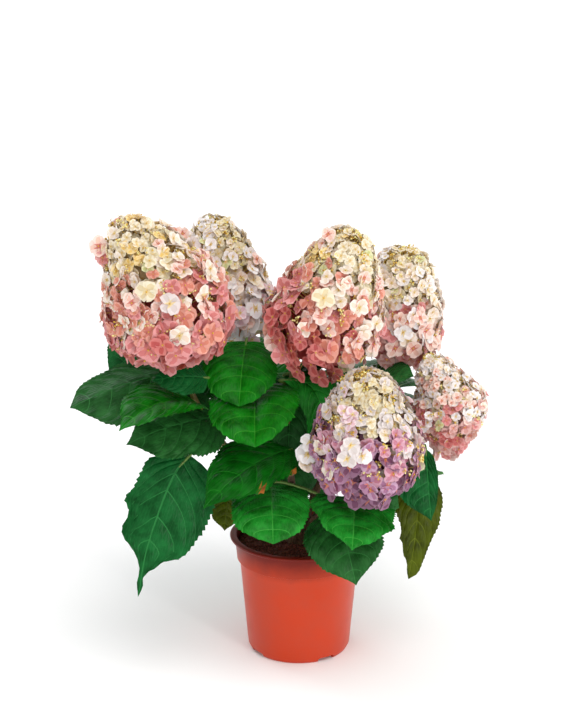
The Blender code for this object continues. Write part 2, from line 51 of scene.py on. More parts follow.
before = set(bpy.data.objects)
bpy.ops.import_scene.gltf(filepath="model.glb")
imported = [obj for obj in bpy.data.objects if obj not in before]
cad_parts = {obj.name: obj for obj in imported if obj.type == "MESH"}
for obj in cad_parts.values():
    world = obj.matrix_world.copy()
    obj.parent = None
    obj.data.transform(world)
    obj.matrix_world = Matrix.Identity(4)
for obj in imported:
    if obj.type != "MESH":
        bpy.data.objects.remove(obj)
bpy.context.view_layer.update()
POT_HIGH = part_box("pot")[1]

# Camera that sees the model as the photograph does: the picture's height and
# the focal length in pixels
PHOTO_HEIGHT = 718
FOCAL_PIXELS = 1893.0
CAMERA_RISE = math.radians(16.7)
CAMERA_REACH = 2.0
CAMERA_AIM = Vector((-0.0152, 0.0, 0.3270))
SENSOR = 36.0

# Lights: the suns' places, the spread of each in degrees and its colour, and
# the strip's place, aim and sides; the floor's side and how far it lies below
SUNS = {
    "key": ((0.27, -0.43, 0.86), 45.0, (1.0, 0.985, 0.96)),
    "sky": ((-0.50, 0.60, 0.62), 30.0, (0.88, 0.94, 1.0)),
}
STRIP_PLACE = Vector((0.86, -1.28, 0.37))
STRIP_AIM = Vector((0.0, 0.0, 0.07))
STRIP_SIDES = (0.12, 0.70)
FLOOR_SIDE = 40.0
FLOOR_DROP = 0.0002

# Pot and compost
LIP_RADIUS = POT_HIGH.x
POT_HEIGHT = POT_HIGH.z
COLLAR_RADIUS = 0.0695
COLLAR_FOOT_RADIUS = 0.0674
BODY_TOP_RADIUS = 0.0645
BODY_FOOT_RADIUS = 0.0556
FOOT_RADIUS = 0.0530
FOOT_PAD_RADIUS = 0.0300
COLLAR_HEIGHT = 0.0270
LIP_HEIGHT = 0.0026
WALL = 0.0018
FLOOR = 0.0024
CHANNEL_LIFT = 0.0040
NOTCH_TURNS = (-147.0, -57.0, 33.0, 123.0)
NOTCH_RING = 0.0520
NOTCH_LIFT = 0.0003
NOTCH_SIZE = (0.0160, 0.0200, 0.0086)
NOTCH_ROUND = 0.0022
HOLE_RADIUS = 0.0036
HOLE_DEPTH = 0.0110
HOLE_LIFT = 0.0065
HOLE_RING = 0.0395
HOLES = 6
SOIL_LEVEL = 0.1210
# The compost keeps clear of the pot by a tuck, and other solids by a clearance
TUCK = 0.0006
CLEARANCE = 0.0003
# Lumps of the compost: height and spread
LUMP_HEIGHT = 0.0022
LUMP_SPREAD = 0.011
# Grit of the peat and of the bark chips; share of the crumbs that are chips, and
# the least and greatest half length of a crumb
PEAT_GRIT = 0.0016
CHIP_GRIT = 0.0012
CHIP_SHARE = 0.22
CRUMB_SIZES = (0.0008, 0.0026)

# Woody base and stems
STOOL_RADIUS = 0.0150
STOOL_HEIGHT = 0.0130
STUB_RING = 0.0185
STUB_LIFT = 0.0210
STUB_RADIUS = 0.0046
STUB_LENGTH = 0.0150
STUB_OUT, STUB_UP = 0.55, 0.90
CANE_RADIUS = 0.0042
NECK_RADIUS = 0.0025
PETIOLE_RADIUS = 0.0016
STEM_STEPS = 90
# Joints of a stem: the shares where a bare cane has them, and how far along the
# stem and how much each swells
BARE_JOINTS = (0.12, 0.26)
JOINT_SPREAD = 0.014
JOINT_SWELL = 0.28
# Depth and width of the furrows in the bark of the base, the width of those in
# the stems, and how many times longer than wide they are
BASE_FURROWS = (0.0006, 0.0022, 3.0)
STEM_FURROWS = (0.0016, 8.0)
# Radius of a leaf stalk along its ten points, as shares of the middle one's
PETIOLE_TAPER = ((0, 1, 4, 8, 9), (1.6, 1.1, 0.9, 1.0, 0.5))

# Turn from one floret to the next, so that they cover a head evenly
GOLDEN = math.pi * (3.0 - math.sqrt(5.0))

# Half width of a leaf and radius of a flower head, as shares of the widest
LEAF_OUTLINE = (
    (0.00, 0.00), (0.04, 0.36), (0.11, 0.70), (0.22, 0.93), (0.36, 1.00), (0.50, 0.98),
    (0.64, 0.88), (0.76, 0.68), (0.86, 0.40), (0.93, 0.16), (0.97, 0.05), (1.00, 0.00),
)
TORN_LEFT = (
    (0.00, 0.00), (0.09, 0.65), (0.22, 0.74), (0.33, 0.76), (0.41, 0.85), (0.51, 0.54), (0.60, 0.69),
    (0.65, 0.62), (0.70, 0.36), (0.77, 0.11), (0.84, 0.05), (0.90, 0.09), (1.00, 0.00),
)
TORN_RIGHT = (
    (0.00, 0.00), (0.04, 0.46), (0.10, 0.76), (0.25, 1.04), (0.38, 1.06), (0.48, 1.06), (0.56, 0.96),
    (0.63, 0.84), (0.67, 0.72), (0.73, 0.37), (0.79, 0.24), (0.84, 0.05), (0.92, 0.06), (1.00, 0.00),
)
BLUNT_OUTLINE = (
    (0.00, 0.00), (0.05, 0.40), (0.14, 0.72), (0.30, 0.94), (0.50, 1.00), (0.68, 0.97), (0.80, 0.86),
    (0.89, 0.63), (0.95, 0.36), (0.98, 0.15), (1.00, 0.00),
)
RAGGED_LEFT = (
    (0.00, 0.00), (0.05, 0.45), (0.14, 0.80), (0.28, 1.02), (0.40, 0.98), (0.50, 0.80), (0.58, 0.66),
    (0.62, 0.70), (0.70, 0.42), (0.76, 0.44), (0.84, 0.20), (0.92, 0.14), (1.00, 0.00),
)
RAGGED_RIGHT = (
    (0.00, 0.00), (0.05, 0.55), (0.14, 0.95), (0.28, 1.12), (0.42, 1.04), (0.56, 0.84), (0.70, 0.66),
    (0.82, 0.54), (0.90, 0.45), (0.95, 0.32), (0.98, 0.12), (1.00, 0.00),
)
NARROW_OUTLINE = tuple((share, 0.34 * half) for share, half in LEAF_OUTLINE)
BROAD_OUTLINE = tuple((share, 1.26 * half) for share, half in LEAF_OUTLINE)
FLAT_OUTLINE = tuple((share, 0.74 * half) for share, half in BLUNT_OUTLINE)
LEAF_SHAPES = {
    "plain": (LEAF_OUTLINE, LEAF_OUTLINE),
    "torn": (TORN_RIGHT, TORN_LEFT),
    "ragged": (RAGGED_RIGHT, RAGGED_LEFT),
    "lopsided": (NARROW_OUTLINE, LEAF_OUTLINE),
    "round": (BLUNT_OUTLINE, BLUNT_OUTLINE),
    "uneven": (BROAD_OUTLINE, FLAT_OUTLINE),
}
HEAD_OUTLINES = {
    "full": (
        (0.00, 0.45), (0.10, 0.74), (0.22, 0.96), (0.40, 1.00), (0.57, 0.94), (0.68, 0.82),
        (0.78, 0.69), (0.88, 0.55), (0.94, 0.44), (0.98, 0.28), (1.00, 0.12),
    ),
    "cone": (
        (0.00, 0.25), (0.10, 0.40), (0.20, 0.58), (0.32, 0.84), (0.44, 1.00), (0.56, 0.93),
        (0.68, 0.73), (0.80, 0.52), (0.90, 0.38), (0.96, 0.27), (1.00, 0.12),
    ),
}

# Rows of a blade from foot to tip, columns from midrib to margin, the rows that
# are side veins, how the veins sweep (a row that ends at share e of the margin
# leaves the midrib at e to this power) and the length of a cell of the vein net
LEAF_ROWS = 50
LEAF_COLUMNS = 8
VEIN_ROWS = (11, 19, 27, 33, 39, 43, 47)
VEIN_SWEEP = 3.4
VEIN_CELL = 0.0032
# Half width of a side vein at the midrib and at the margin, as shares of the
# length, and of the midrib in metres on a blade 80 mm wide
VEIN_FOOT = 0.0046
VEIN_TIP = 0.0014
RIB_HALF = 0.0011
# How far veins and midrib sink into the skin and stand out below
VEIN_SINK = 0.0005
RIB_SINK = 0.0008
RIB_EDGE_SINK = 0.0002
VEIN_KEEL = 0.0006
RIB_KEEL = 0.0009


class Shoot(NamedTuple):
    """A shoot and its flower head; places and lengths are in millimetres.

    turn: of its stub on the woody base, in degrees; bare: share that is a bare cane
    neck, aim: where it meets its head and which way it points there
    seat, tip, radius: middle of the head's base, tip and radius of the head
    reach: of the largest florets; mood: the head's range of tints
    taper: how much the head narrows to its tip; bow: how far it bows
    """
    turn: float
    bare: float
    neck: tuple
    aim: tuple
    seat: tuple
    tip: tuple
    radius: float
    reach: float
    mood: str
    taper: float = 0.0
    bow: tuple = (0, 0, 0)
    outline: str = "full"


SHOOTS = {
    "left": Shoot(turn=-160, bare=0.34, neck=(-125, -55, 345), aim=(-0.25, -0.05, 1.0), seat=(-128, -55, 348),
                  tip=(-184, -75, 491), radius=65, reach=13.0, mood="salmon", taper=0.30, bow=(14, 0, 0)),
    "left_rear": Shoot(turn=168, bare=0.42, neck=(-62, 50, 339), aim=(-0.25, 0.1, 1.0), seat=(-58, 50, 331),
                       tip=(-92, 50, 470), radius=45.5, reach=11.2, mood="pale", bow=(-5, 0, 0)),
    "middle": Shoot(turn=-96, bare=0.36, neck=(0, -42, 346), aim=(0.45, 0.0, 1.0), seat=(4, -40, 333),
                    tip=(53, -45, 476), radius=58, reach=12.8, mood="salmon", taper=0.18, bow=(4, 0, 0)),
    "right_rear": Shoot(turn=28, bare=0.42, neck=(108, 50, 305), aim=(0.2, 0.1, 1.0), seat=(104, 50, 305),
                        tip=(114, 50, 438), radius=46, reach=11.2, mood="dusty", taper=-0.20),
    "front": Shoot(turn=-52, bare=0.36, neck=(64, -72, 212), aim=(0.15, -0.5, 1.0), seat=(71, -93, 212),
                   tip=(64, -112, 347), radius=56, reach=12.2, mood="lilac", taper=0.10),
    "right": Shoot(turn=-10, bare=0.40, neck=(143, -4, 219), aim=(0.70, 0.0, 0.7), seat=(157, -5, 221),
                   tip=(132, -10, 334), radius=44, reach=8.4, mood="mellow", bow=(11, 0, 0), outline="cone"),
    "back_left": Shoot(turn=132, bare=0.40, neck=(-106, 150, 302), aim=(-0.3, 0.4, 1.0),
                       seat=(-106, 150, 302), tip=(-111, 155, 413), radius=45, reach=12.0, mood="salmon"),
    "back": Shoot(turn=97, bare=0.40, neck=(22, 130, 292), aim=(0.0, 0.4, 1.0),
                  seat=(22, 130, 292), tip=(26, 135, 406), radius=46, reach=12.0, mood="lilac"),
    "back_right": Shoot(turn=62, bare=0.40, neck=(118, 145, 287), aim=(0.3, 0.4, 1.0),
                        seat=(118, 145, 287), tip=(116, 155, 390), radius=45, reach=12.0, mood="salmon"),
}

# Florets that stand out of a head: height where they spring, place, reach and tint
STRAYS = {
    "left": ((0.80, (-201, -75, 467), 11, "blush"), (0.76, (-197, -78, 456), 9, "pink"),
             (0.60, (-150, -129, 434), 12, "sand"), (0.55, (-128, -126, 421), 11, "pearl"),
             (0.06, (-124, -84, 349), 10, "rose"), (0.08, (-133, -90, 346), 10, "pink")),
    "left_rear": ((0.80, (-123, 30, 456), 9, "blush"), (0.75, (-118, 35, 450), 10, "white"),
                  (0.72, (-112, 28, 446), 9, "white")),
    "middle": ((0.93, (28, -60, 476), 8, "blush"), (0.50, (23, -100, 420), 12, "sand"),
               (0.10, (-27, -62, 365), 11, "blush"), (0.06, (-18, -70, 352), 11, "pink"),
               (0.05, (-9, -66, 348), 10, "rose"), (0.18, (-30, -56, 374), 10, "salmon"),
               (0.14, (-24, -54, 364), 10, "blush")),
    "front": ((0.34, (8, -104, 257), 12, "white"), (0.30, (7, -104, 247), 10, "cream"),
              (0.42, (10, -104, 270), 10, "white"), (0.50, (49, -158, 286), 11, "pearl"),
              (0.46, (61, -159, 275), 10, "white"), (0.44, (46, -159, 272), 10, "pearl")),
}

# Leaves seen in the photograph, in millimetres: share of the shoot where the
# stalk leaves it, foot and tip of the blade, width, the way it faces, its arch
# and its fold as shares, its tone, and then its shape and how far the midrib
# lies to one side where it isn't plain
SEEN_LEAVES = {
    "left": (
        (0.90, (-122, -26, 322), (-239, -45, 287), 82, (0.00, -0.50, 0.87), 0.07, -0.22, "shade", "uneven"),
        (0.70, (-102, -60, 295), (-182, -120, 287), 84, (-0.10, -0.15, 1.00), 0.17, 0.16, "fresh"),
        (0.86, (-94, -64, 326), (-150, -86, 330), 40, (0.00, -0.70, 0.65), 0.10, -0.14, "cool"),
        (0.56, (-76, -48, 279), (-178, -86, 261), 80, (0.15, -0.55, 0.80), 0.10, -0.10, "shade"),
        (0.46, (-113, -75, 246), (-167, -115, 105), 90, (0.10, -0.85, 0.50), 0.05, -0.14, "cool",
         "torn", 0.22),
        (0.38, (-74, -40, 195), (-79, -55, 154), 36, (-0.30, -0.70, 0.50), 0.05, 0.10, "olive"),
        (0.96, (-158, 12, 344), (-203, 12, 306), 60, (-0.10, -0.80, 0.50), 0.05, 0.10, "cool"),
    ),
    "left_rear": (
        (0.88, (-56, -2, 347), (-62, -85, 302), 75, (-0.05, -0.65, 0.75), 0.09, 0.20, "fresh", "round"),
        (0.78, (-83, 25, 321), (-141, 0, 317), 54, (0.00, -0.55, 0.80), 0.08, 0.10, "cool"),
        (0.68, (-65, 14, 303), (-130, -8, 295), 60, (0.00, -0.45, 0.85), 0.08, 0.10, "deep"),
    ),
    "middle": (
        (0.80, (-20, -52, 320), (9, -86, 253), 40, (0.15, -0.80, 0.55), 0.12, 0.12, "bright", "plain", -1.40),
        (0.66, (-44, -26, 302), (-45, -125, 272), 90, (-0.14, -0.35, 0.90), 0.10, 0.34, "fresh", "round"),
        (0.42, (-2, -52, 246), (-98, -130, 208), 80, (-0.15, -0.45, 0.85), 0.12, 0.12, "deep"),
        (0.92, (6, -24, 325), (39, -48, 334), 38, (0.10, -0.30, 0.90), 0.10, 0.10, "shade"),
        (0.88, (-16, -36, 320), (38, -46, 308), 42, (0.10, -0.35, 0.92), 0.10, -0.12, "fresh"),
        (0.56, (8, -12, 285), (28, -34, 212), 56, (0.20, -0.80, 0.60), 0.08, 0.10, "shade"),
        (0.62, (-8, -28, 298), (-13, -60, 234), 42, (0.00, -0.80, 0.50), 0.08, 0.10, "shade"),
    ),
    "right_rear": (
        (0.85, (84, 15, 300), (121, -10, 311), 42, (0.10, -0.45, 0.90), 0.08, 0.10, "shade"),
    ),
    "front": (
        (0.72, (56, -68, 196), (52, -150, 171), 86, (0.16, -0.50, 0.85), 0.09, 0.12, "bright"),
        (0.80, (72, -66, 200), (104, -70, 186), 44, (0.00, -0.75, 0.65), 0.06, 0.10, "shade"),
        (0.52, (-30, -60, 208), (-27, -145, 176), 78, (0.00, -0.45, 0.90), 0.10, 0.12, "bright", "round"),
        (0.40, (38, -65, 183), (58, -120, 120), 80, (0.00, -0.75, 0.60), 0.12, 0.10, "shade"),
    ),
    "right": (
        (0.72, (133, -33, 238), (139, -55, 165), 62, (-0.10, -0.85, 0.45), 0.06, 0.12, "cool", "lopsided"),
        (0.60, (131, 6, 200), (118, -25, 86), 47, (0.20, -0.85, 0.45), 0.08, 0.10, "olive", "ragged"),
    ),
    "back_left": (
        (0.42, (-44, 72, 212), (-46, 62, 142), 60, (-0.10, -0.80, 0.30), -0.06, 0.10, "shade"),
    ),
    "back": (
        (0.52, (-12, 40, 256), (-30, 24, 200), 62, (-0.20, -0.80, 0.60), 0.08, 0.10, "shade"),
        (0.42, (18, 76, 214), (22, 70, 140), 64, (0.10, -0.80, 0.30), -0.06, 0.10, "shade"),
        (0.66, (-6, 26, 290), (-12, 2, 222), 56, (0.10, -0.80, 0.50), 0.06, 0.12, "shade"),
        (0.58, (14, 34, 268), (10, 16, 196), 56, (-0.20, -0.80, 0.40), 0.06, 0.12, "shade"),
        (0.36, (-24, 34, 214), (-12, 14, 150), 60, (0.00, -0.80, 0.50), 0.06, 0.12, "shade"),
    ),
    "back_right": (),
}

# Leaves of the hidden sides: shares of the shoot that bear a pair, the turn of
# the lowest pair about the stem, and the least that a leaf points to the back
PAIRS = {
    "left": ((0.44, 0.64), 60, 0.2),
    "left_rear": ((0.46, 0.60, 0.74, 0.88), 20, 0.2),
    "middle": ((0.44, 0.60), 70, 0.2),
    "right_rear": ((0.46, 0.60, 0.74, 0.88), 50, 0.1),
    "front": ((0.44,), 30, 0.2),
    "right": ((0.44, 0.60, 0.76), 80, 0.3),
    "back_left": ((0.42, 0.56, 0.70, 0.84), 30, -1.0),
    "back": ((0.42, 0.56, 0.70, 0.84), 70, -1.0),
    "back_right": ((0.42, 0.56, 0.70, 0.84), 110, -1.0),
}
PAIR_LENGTH = 0.105
PAIR_WIDTH = 0.074
PAIR_STALK = 0.022
PAIR_DROOP = 0.42
PAIR_FOLD = 0.14
PAIR_TWISTS = (0, 30, -30, 60, -60)
PAIR_TONES = ("fresh", "deep", "deep", "cool", "shade")
# Room for the tips of the paired leaves along each axis, and how close to the
# packed mass each foot and tip has to be
SPACE = ((-0.200, 0.165), (-0.200, 0.260), (0.060, 0.420))
LEAF_REST = 0.0012

# The leaf with burnt spots on its margin, and the share of its length, the share
# of its half width and the radius of each spot
BURNT_LEAF = ("middle", 2)
BURNS = ((0.30, 0.98, 0.0042), (0.62, 0.92, 0.0034))

# Leaf tones: the blade's darker and lighter green, its veins and its underside
LEAF_TONES = {
    # bright is a lighter leaf green; on the leaves under the flower heads it is painted light over their
    # shade
    "bright": ("#0E5C12", "#208C2A", "#3A9637", "#4A8040"),
    "fresh": ("#044C05", "#107611", "#2D8120", "#4A8040"),
    "deep": ("#034406", "#0B6510", "#1D721C", "#3A6E38"),
    "cool": ("#084219", "#16622C", "#277137", "#3F7446"),
    "shade": ("#164419", "#2C6830", "#306F35", "#365F3C"),
    "olive": ("#333B04", "#4C580A", "#5E6A18", "#6E7634"),
}

# Sepal tints, each its inner and its rim colour
SEPAL_TINTS = {
    "gold": ("#ECC068", "#F2D698"),
    "ivory": ("#EAD4AC", "#F4E8D0"),
    "sand": ("#DCC89C", "#EADEC0"),
    "cream": ("#EED6BE", "#F6E8DA"),
    "white": ("#EADFDA", "#F4EEEC"),
    "snow": ("#F8F0EE", "#FCF8F6"),
    "pearl": ("#CEC0BA", "#DED2CE"),
    "blush": ("#EEBAA8", "#F6D6CA"),
    "salmon": ("#D27963", "#E29A88"),
    "pink": ("#C86D6C", "#DC908E"),
    "rose": ("#B24846", "#CC6E69"),
    "deep": ("#9C362E", "#B85448"),
    "dusty": ("#E8BDAA", "#F3D6C8"),
    "mauve": ("#CF9088", "#E0B0A8"),
    "powder": ("#E8BCC4", "#F2DADE"),
    "petal": ("#C07688", "#D49CAC"),
    "lilac": ("#A46C8C", "#C094AE"),
    "orchid": ("#8E5472", "#AC7A96"),
    "plum": ("#6A3856", "#8C5E7A"),
    "lime": ("#CCCB84", "#DEDCAA"),
}
# Tints of the florets with a pale painted shade at the middle; the others have a rosy one
PALE_TINTS = ("gold", "ivory", "sand", "cream", "white", "snow", "pearl", "powder", "lime")

# Tints of a head from its top down, deeper towards the bottom, where the florets are rosier and painted shade
# darkens the underside
MOODS = {
    "salmon": ("ivory", "gold", "sand", "cream", "blush", "salmon", "cream", "salmon", "blush", "pink",
               "salmon", "pink", "rose", "pink", "deep", "rose"),
    "dusty": ("ivory", "white", "cream", "white", "cream", "blush", "white", "dusty", "pink", "blush",
              "dusty", "pink", "mauve"),
    "mellow": ("snow", "cream", "white", "blush", "white", "dusty", "white", "pink", "dusty", "mauve",
               "blush", "mauve", "pink", "mauve", "rose", "mauve"),
    "pale": ("sand", "ivory", "white", "snow", "cream", "snow", "blush", "snow", "snow", "powder", "snow",
             "white", "snow"),
    "lilac": ("sand", "pearl", "ivory", "pearl", "pearl", "powder", "pearl", "powder", "petal", "lilac",
              "petal", "orchid", "plum", "lilac", "orchid", "plum", "plum", "orchid", "plum"),
}

# Tints of painted shade: the tint deep in the upper part of every head, and that of the lower half of its
# inside
DEPTH_SHADE_TINT = "sand"
CORE_SHADE_TINTS = {"salmon": "rose", "dusty": "mauve", "pale": "blush", "mellow": "mauve", "lilac": "plum"}

# Size of the patches of tint and of the lumps on a head; share of the florets at
# its skin, how far below it the others start and how far they go
PATCH = 0.026
SKIN_SHARE = 0.65
DEEP = 0.004
DEEPEST = 0.010
# Shares of the florets that are lime or cream among the others
LIME_SHARE = 0.007
CREAM_SHARE = 0.08

# Radii of a head's middle stem from its neck up, of a floret's stalk and of a
# bud's; the bud in the middle of a floret as a share of its reach, and its lift;
# share of the buds in a cluster that are ochre
RACHIS_RADII = (NECK_RADIUS, NECK_RADIUS * 0.95, 0.0020, 0.0016, 0.0010)
STALK_RADII = (0.0010, 0.0006)
BUD_STALK_RADII = (0.0005, 0.0004)
EYE = 0.09
EYE_LIFT = 0.0011
OCHRE_SHARE = 0.35

# Radius and height of a head of the widest size and the reach of its florets, in
# millimetres
WIDEST_HEAD = (66, 168)
WIDEST_REACH = 13.0

# A sepal, as shares of its length: rows from claw to tip with their half
# widths, and columns across
SEPAL_ROWS = ((0.00, 0.10), (0.22, 0.42), (0.52, 0.61), (0.82, 0.46), (1.00, 0.00))
SEPAL_COLUMNS = (-1.0, -0.38, 0.38, 1.0)
SEPAL_THICKNESS = 0.018
SEPAL_KINDS = 12


def linear(text):
    """Linear colour of an sRGB hex value."""
    values = [int(text[start:start + 2], 16) / 255 for start in (1, 3, 5)]
    return tuple(v / 12.92 if v <= 0.04045 else ((v + 0.055) / 1.055) ** 2.4 for v in values)


def colour_setting(name, text, words):
    return bpy.props.FloatVectorProperty(
        name=name, description=words, subtype="COLOR", size=3, min=0.0, max=1.0, default=linear(text))


def number_setting(name, value, words, **more):
    return bpy.props.FloatProperty(name=name, description=words, default=value, min=0.0, **more)


def length_setting(name, value, words):
    return number_setting(name, value, words, unit="LENGTH", subtype="DISTANCE", precision=4)


def count_setting(name, value, words, least=0):
    return bpy.props.IntProperty(name=name, description=words, default=value, min=least)


class PotSettings(bpy.types.PropertyGroup):
    sides: count_setting("Sides", 144, "Flats round the pot", 24)
    edge: length_setting("Edge radius", 0.0005, "Radius of the pot's moulded edges")
    clay: colour_setting("Pot", "#C33D1D", "Colour of the moulded pot")
    # Painted shade of the collar under the rim and leaves, together with some damp soil stain
    rim_shade_and_stain: colour_setting("Shade_and_stain", "#600C05", "Colour of the damp, soil-stained rim")
    scuffed: colour_setting("Scuffs", "#B04A38", "Colour where the pot is rubbed and dusty")
    peat: colour_setting("Peat", "#441007", "Colour of the wet compost")
    chip: colour_setting("Chips", "#843C22", "Colour of bark and fibre in the compost")
    crumbs: count_setting("Crumbs", 900, "Crumbs on the compost")


class StemSettings(bpy.types.PropertyGroup):
    sides: count_setting("Sides", 14, "Flats round a stem", 6)
    relief: length_setting("Bark relief", 0.0005, "Depth of the furrows in the bark")
    bark: colour_setting("Bark", "#6B4A2E", "Colour of the old wood")
    furrow: colour_setting("Furrows", "#3A281A", "Colour deep in the bark")
    young: colour_setting("Young stem", "#78803A", "Colour of this year's shoots")
    stalk: colour_setting("Leaf stalk", "#6C8A38", "Colour of the leaf stalks")


class LeafSettings(bpy.types.PropertyGroup):
    thickness: length_setting("Thickness", 0.0006, "Thickness of a blade")
    quilt: number_setting("Quilting", 0.013, "Rise between the veins as a share of the width")
    tooth: number_setting("Tooth", 0.055, "Depth of a tooth as a share of the half width")
    ripple: number_setting("Ripple", 0.030, "Wave of the margin as a share of the width")
    bay: number_setting("Bays", 0.07, "Unevenness of the outline as a share of the half width")
    scorch: colour_setting("Scorch", "#A8622A", "Colour of the burnt spots on one margin")


class HeadSettings(bpy.types.PropertyGroup):
    florets: count_setting("Florets", 580, "Florets on a head of the widest size", 20)
    tilt: number_setting("Tilt", 0.36, "Spread of the way florets face", subtype="ANGLE")
    clusters: count_setting("Bud clusters", 130, "Clusters of buds on a head")
    bud: length_setting("Bud radius", 0.0010, "Radius of an unopened bud")
    # Painted shade at the middle of the florets, where the sepals meet
    throat_shade: colour_setting("Pale throat", "#E6CB94", "Colour at the middle of pale florets")
    throat_shade_rose: colour_setting("Rosy throat", "#D4786C", "Colour at the middle of rosy florets")
    bud_cream: colour_setting("Cream buds", "#ECDC92", "Colour of ripe buds")
    bud_ochre: colour_setting("Ochre buds", "#D0A43C", "Colour of older buds")
    pedicel: colour_setting("Pedicel", "#E4C070", "Colour of the fine flower stalks")


class StageSettings(bpy.types.PropertyGroup):
    floor: colour_setting("Floor", "#FBFBFB", "Colour of the plain floor")
    key: number_setting("Key light", 1.20, "Strength of the key light")
    sky: number_setting("Sky light", 0.65, "Strength of the cool back light")
    strip: number_setting("Strip light", 5.5, "Power of the tall strip light in watts")
    room: number_setting("Room light", 0.84, "Strength of the pale room")


def add_node(tree, kind, inputs, out=0, **options):
    """Add a node, link or set its inputs, and return its output of that number or name."""
    node = tree.nodes.new("ShaderNode" + kind)
    for name, value in options.items():
        setattr(node, name, value)
    for name, value in inputs.items():
        if isinstance(value, bpy.types.NodeSocket):
            tree.links.new(value, node.inputs[name])
        else:
            node.inputs[name].default_value = value
    return node.outputs[out]


def new_finish(name, settings):
    """Material with its even values set on the shader, its nodes and the place on the object."""
    material = bpy.data.materials.new(name)
    material.use_nodes = True
    tree = material.node_tree
    for key, value in settings.items():
        tree.nodes["Principled BSDF"].inputs[key].default_value = value
    return material, tree, add_node(tree, "TexCoord", {}, "Object")


def link_shader(material, sockets):
    """Link what changes over a surface to the material's shader."""
    tree = material.node_tree
    for name, socket in sockets.items():
        tree.links.new(socket, tree.nodes["Principled BSDF"].inputs[name])
    return material


def opaque(colour):
    return (*colour, 1.0)


def pot_finish(settings):
    """Polypropylene, injection moulded: an even satin skin, rubbed duller in soft patches, with painted shade
    and some soil stain darkening the collar.
    """
    material, tree, spot = new_finish("moulded_polypropylene", {"IOR": 1.49, "Specular IOR Level": 0.20})
    # Rubbed patches about 25 mm across
    rubbed = add_node(tree, "TexNoise", {
        "Vector": spot, "Scale": 1 / 0.025, "Detail": 5.0, "Roughness": 0.6})
    share = add_node(tree, "MapRange", {
        "Value": rubbed, "From Min": 0.40, "From Max": 0.75, "To Max": 0.35})
    colour = add_node(tree, "Mix", {
        0: share, 6: opaque(settings.clay), 7: opaque(settings.scuffed)}, 2, data_type="RGBA")
    gloss = add_node(tree, "MapRange", {
        "Value": rubbed, "From Min": 0.3, "From Max": 0.7, "To Min": 0.30, "To Max": 0.38})
    # Painted shade from the rim and the leaves above, together with some damp soil stain, darkens the top 25
    # mm, with an uneven edge
    height = add_node(tree, "SeparateXYZ", {"Vector": spot}, "Z")
    edge = add_node(tree, "Math", {0: rubbed, 1: 0.016, 2: height}, operation="MULTIPLY_ADD")
    rim_shade = add_node(tree, "MapRange", {
        "Value": edge, "From Min": 0.106, "From Max": 0.130, "To Max": 0.88})
    rim_shade_and_stain = add_node(tree, "Mix", {
        0: rim_shade, 6: colour, 7: opaque(settings.rim_shade_and_stain)}, 2, data_type="RGBA")
    # Flow marks run up the wall, 3 mm apart and long
    stretch = add_node(tree, "Mapping", {"Vector": spot, "Scale": (1 / 0.003, 1 / 0.003, 1 / 0.060)})
    flow = add_node(tree, "TexNoise", {"Vector": stretch, "Scale": 1.0, "Detail": 2.0})
    # Moulded grain 0.6 mm, drawn coarser than the real one so that it shows
    grain = add_node(tree, "TexNoise", {"Vector": spot, "Scale": 1 / 0.0006, "Detail": 2.0})
    relief = add_node(tree, "Math", {0: grain, 1: flow}, operation="ADD")
    bump = add_node(tree, "Bump", {"Height": relief, "Distance": 0.00006, "Strength": 0.5})
    return link_shader(material, {"Base Color": rim_shade_and_stain, "Roughness": gloss, "Normal": bump})


def earth_finish(name, dark, light, grit):
    """Peat and bark: matt, crumbly at the given grit size, with paler fibres."""
    material, tree, spot = new_finish(name, {"Roughness": 0.92})
    grains = add_node(tree, "TexNoise", {
        "Vector": spot, "Scale": 1 / grit, "Detail": 6.0, "Roughness": 0.65})
    share = add_node(tree, "MapRange", {"Value": grains, "From Min": 0.42, "From Max": 0.74})
    colour = add_node(tree, "Mix", {0: share, 6: opaque(dark), 7: opaque(light)}, 2, data_type="RGBA")
    bump = add_node(tree, "Bump", {"Height": grains, "Distance": grit * 0.4, "Strength": 0.8})
    return link_shader(material, {"Base Color": colour, "Normal": bump})


def stem_finish(name, skin, furrow, roughness):
    """Bark or green rind: streaks along the stem and small pale pores."""
    material, tree, spot = new_finish(name, {"Roughness": roughness})
    # Streaks 1.2 mm apart and 12 mm long
    stretch = add_node(tree, "Mapping", {
        "Vector": spot, "Scale": (1 / 0.0012, 1 / 0.0012, 1 / 0.012)})
    streaks = add_node(tree, "TexNoise", {"Vector": stretch, "Scale": 1.0, "Detail": 4.0})
    share = add_node(tree, "MapRange", {"Value": streaks, "From Min": 0.35, "From Max": 0.70})
    streaked = add_node(tree, "Mix", {
        0: share, 6: opaque(furrow), 7: opaque(skin)}, 2, data_type="RGBA")
    # Pores, one to each 3 mm
    pores = add_node(tree, "TexVoronoi", {"Vector": spot, "Scale": 1 / 0.003})
    dots = add_node(tree, "MapRange", {
        "Value": pores, "From Min": 0.10, "From Max": 0.20, "To Min": 0.5, "To Max": 0.0})
    colour = add_node(tree, "Mix", {
        0: dots, 6: streaked, 7: opaque(linear("#B89C74"))}, 2, data_type="RGBA")
    bump = add_node(tree, "Bump", {"Height": streaks, "Distance": 0.0004, "Strength": 0.7})
    return link_shader(material, {"Base Color": colour, "Normal": bump})


